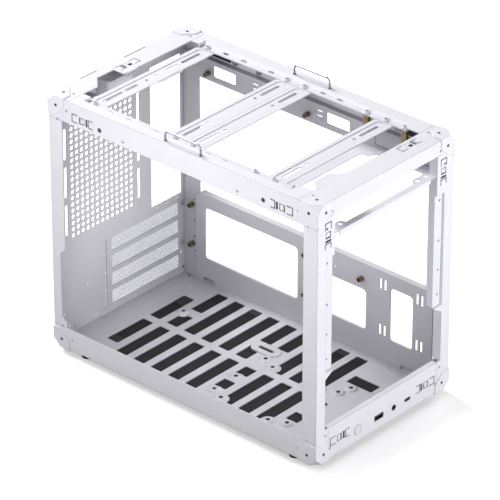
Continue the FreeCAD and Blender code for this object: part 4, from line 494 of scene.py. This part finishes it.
def spring_fingers():
    """Three small spring fingers under the board's socket cut-out."""
    width = 6
    boxes = [((x, x + width), (343.3, 344), (92.6, 95.0)) for x in (145, 160.5, 175)]
    chips("spring_fingers", boxes, "cap_paint", 0.3)


bolt_recess_shades()
column_screws()
latch_tongues()
dimples()
standoff_bore_shades()
spring_fingers()
tongue("wide_socket_tongue", "usb_a_port", 11, 1.9, (1.2, 10), 0.9, "black_plastic")
tongue("small_socket_tongue", "usb_c_port", 6.4, 0.7, (1.0, 10), 0.0, "black_plastic")


# Camera, floor and light
def camera():
    """A long lens at the photograph's angle, solved from the frame's corners."""
    data = bpy.data.cameras.new("camera")
    data.lens, data.sensor_width = 288.8, 36
    data.clip_start, data.clip_end = 0.1, 50
    made = bpy.data.objects.new("camera", data)
    right, up = Vector((0.6668, -0.7452, 0)), Vector((0.3674, 0.3287, 0.8699))
    back = right.cross(up)
    turn = Matrix((right, up, back)).transposed().to_4x4()
    made.matrix_world = Matrix.Translation(at(-2444, -2103, 2064)) @ turn
    bpy.context.collection.objects.link(made)
    bpy.context.scene.camera = made


def floor():
    """A matt floor that the camera sees white, with the object's shadow near it; it throws little light back."""
    mesh = bpy.data.meshes.new("floor")
    side = 6
    mesh.from_pydata([(-side, -side, 0), (side, -side, 0), (side, side, 0), (-side, side, 0)], [], [(0, 1, 2, 3)])
    made = bpy.data.objects.new("floor", mesh)
    s = Shader("studio_floor")
    seen = s.add("ShaderNodeBsdfDiffuse", {"Color": linear("#E6E6E6")}).outputs[0]
    away = s.add("ShaderNodeVectorMath", {0: s.where()}, operation="LENGTH").outputs["Value"]
    near, far = 0.3, 0.9
    strength = s.ramp(away, 0.33, 1.0, near, far)
    glow = s.add("ShaderNodeEmission", {"Color": linear("#FFFFFF"), "Strength": strength}).outputs[0]
    white = s.add("ShaderNodeAddShader", {0: seen, 1: glow}).outputs[0]
    grey = s.add("ShaderNodeBsdfDiffuse", {"Color": linear("#949494")}).outputs[0]
    path = s.add("ShaderNodeLightPath").outputs
    mirrored = s.math("MAXIMUM", path["Is Glossy Ray"], path["Is Transmission Ray"])
    shown = s.math("MAXIMUM", path["Is Camera Ray"], mirrored)
    mix = s.add("ShaderNodeMixShader", {0: shown, 1: grey, 2: white}).outputs[0]
    s.tree.links.new(mix, s.output.inputs["Surface"])
    mesh.materials.append(s.material)
    bpy.context.collection.objects.link(made)


def softbox(name, place, target, size, power):
    """An area lamp; its size is the width and height."""
    data = bpy.data.lights.new(name, "AREA")
    data.shape = "RECTANGLE"
    data.size, data.size_y, data.energy = size[0], size[1], power
    made = bpy.data.objects.new(name, data)
    made.location = place
    made.rotation_euler = (Vector(target) - Vector(place)).to_track_quat("-Z", "Y").to_euler()
    bpy.context.collection.objects.link(made)


def world():
    """Even white surroundings that light the object only a little."""
    made = bpy.data.worlds.new("studio")
    made.use_nodes = True
    tree = made.node_tree
    light = tree.nodes["Background"]
    light.inputs["Color"].default_value = linear("#FFFFFF")
    light.inputs["Strength"].default_value = 0.04
    plain = tree.nodes.new("ShaderNodeBackground")
    plain.inputs["Color"].default_value = linear("#FFFFFF")
    plain.inputs["Strength"].default_value = 1.0
    path = tree.nodes.new("ShaderNodeLightPath")
    shown = path.outputs["Is Camera Ray"]
    for kind in ("Is Glossy Ray", "Is Transmission Ray"):
        both = tree.nodes.new("ShaderNodeMath")
        both.operation = "MAXIMUM"
        tree.links.new(shown, both.inputs[0])
        tree.links.new(path.outputs[kind], both.inputs[1])
        shown = both.outputs[0]
    mix = tree.nodes.new("ShaderNodeMixShader")
    tree.links.new(shown, mix.inputs[0])
    tree.links.new(light.outputs[0], mix.inputs[1])
    tree.links.new(plain.outputs[0], mix.inputs[2])
    tree.links.new(mix.outputs[0], tree.nodes["World Output"].inputs["Surface"])
    bpy.context.scene.world = made


camera()
floor()
world()
softbox("left", (-0.47, 0.0, 0.27), (0, 0, 0.17), (0.55, 0.25), 0.69)
softbox("left_up", (-0.4, 0.0, 0.38), (0, 0, 0.22), (0.5, 0.2), 0.86)
softbox("front", (0.05, -1.0, 0.35), (0, -0.17, 0.2), (0.4, 0.4), 7.0)
softbox("rear", (0.1, 1.9, 2.05), (0, 0, 0.25), (1.2, 1.2), 84)
softbox("right", (1.7, 0.1, 0.55), (0, 0, 0.15), (0.8, 0.5), 13)
bpy.context.scene.view_settings.view_transform = "Standard"
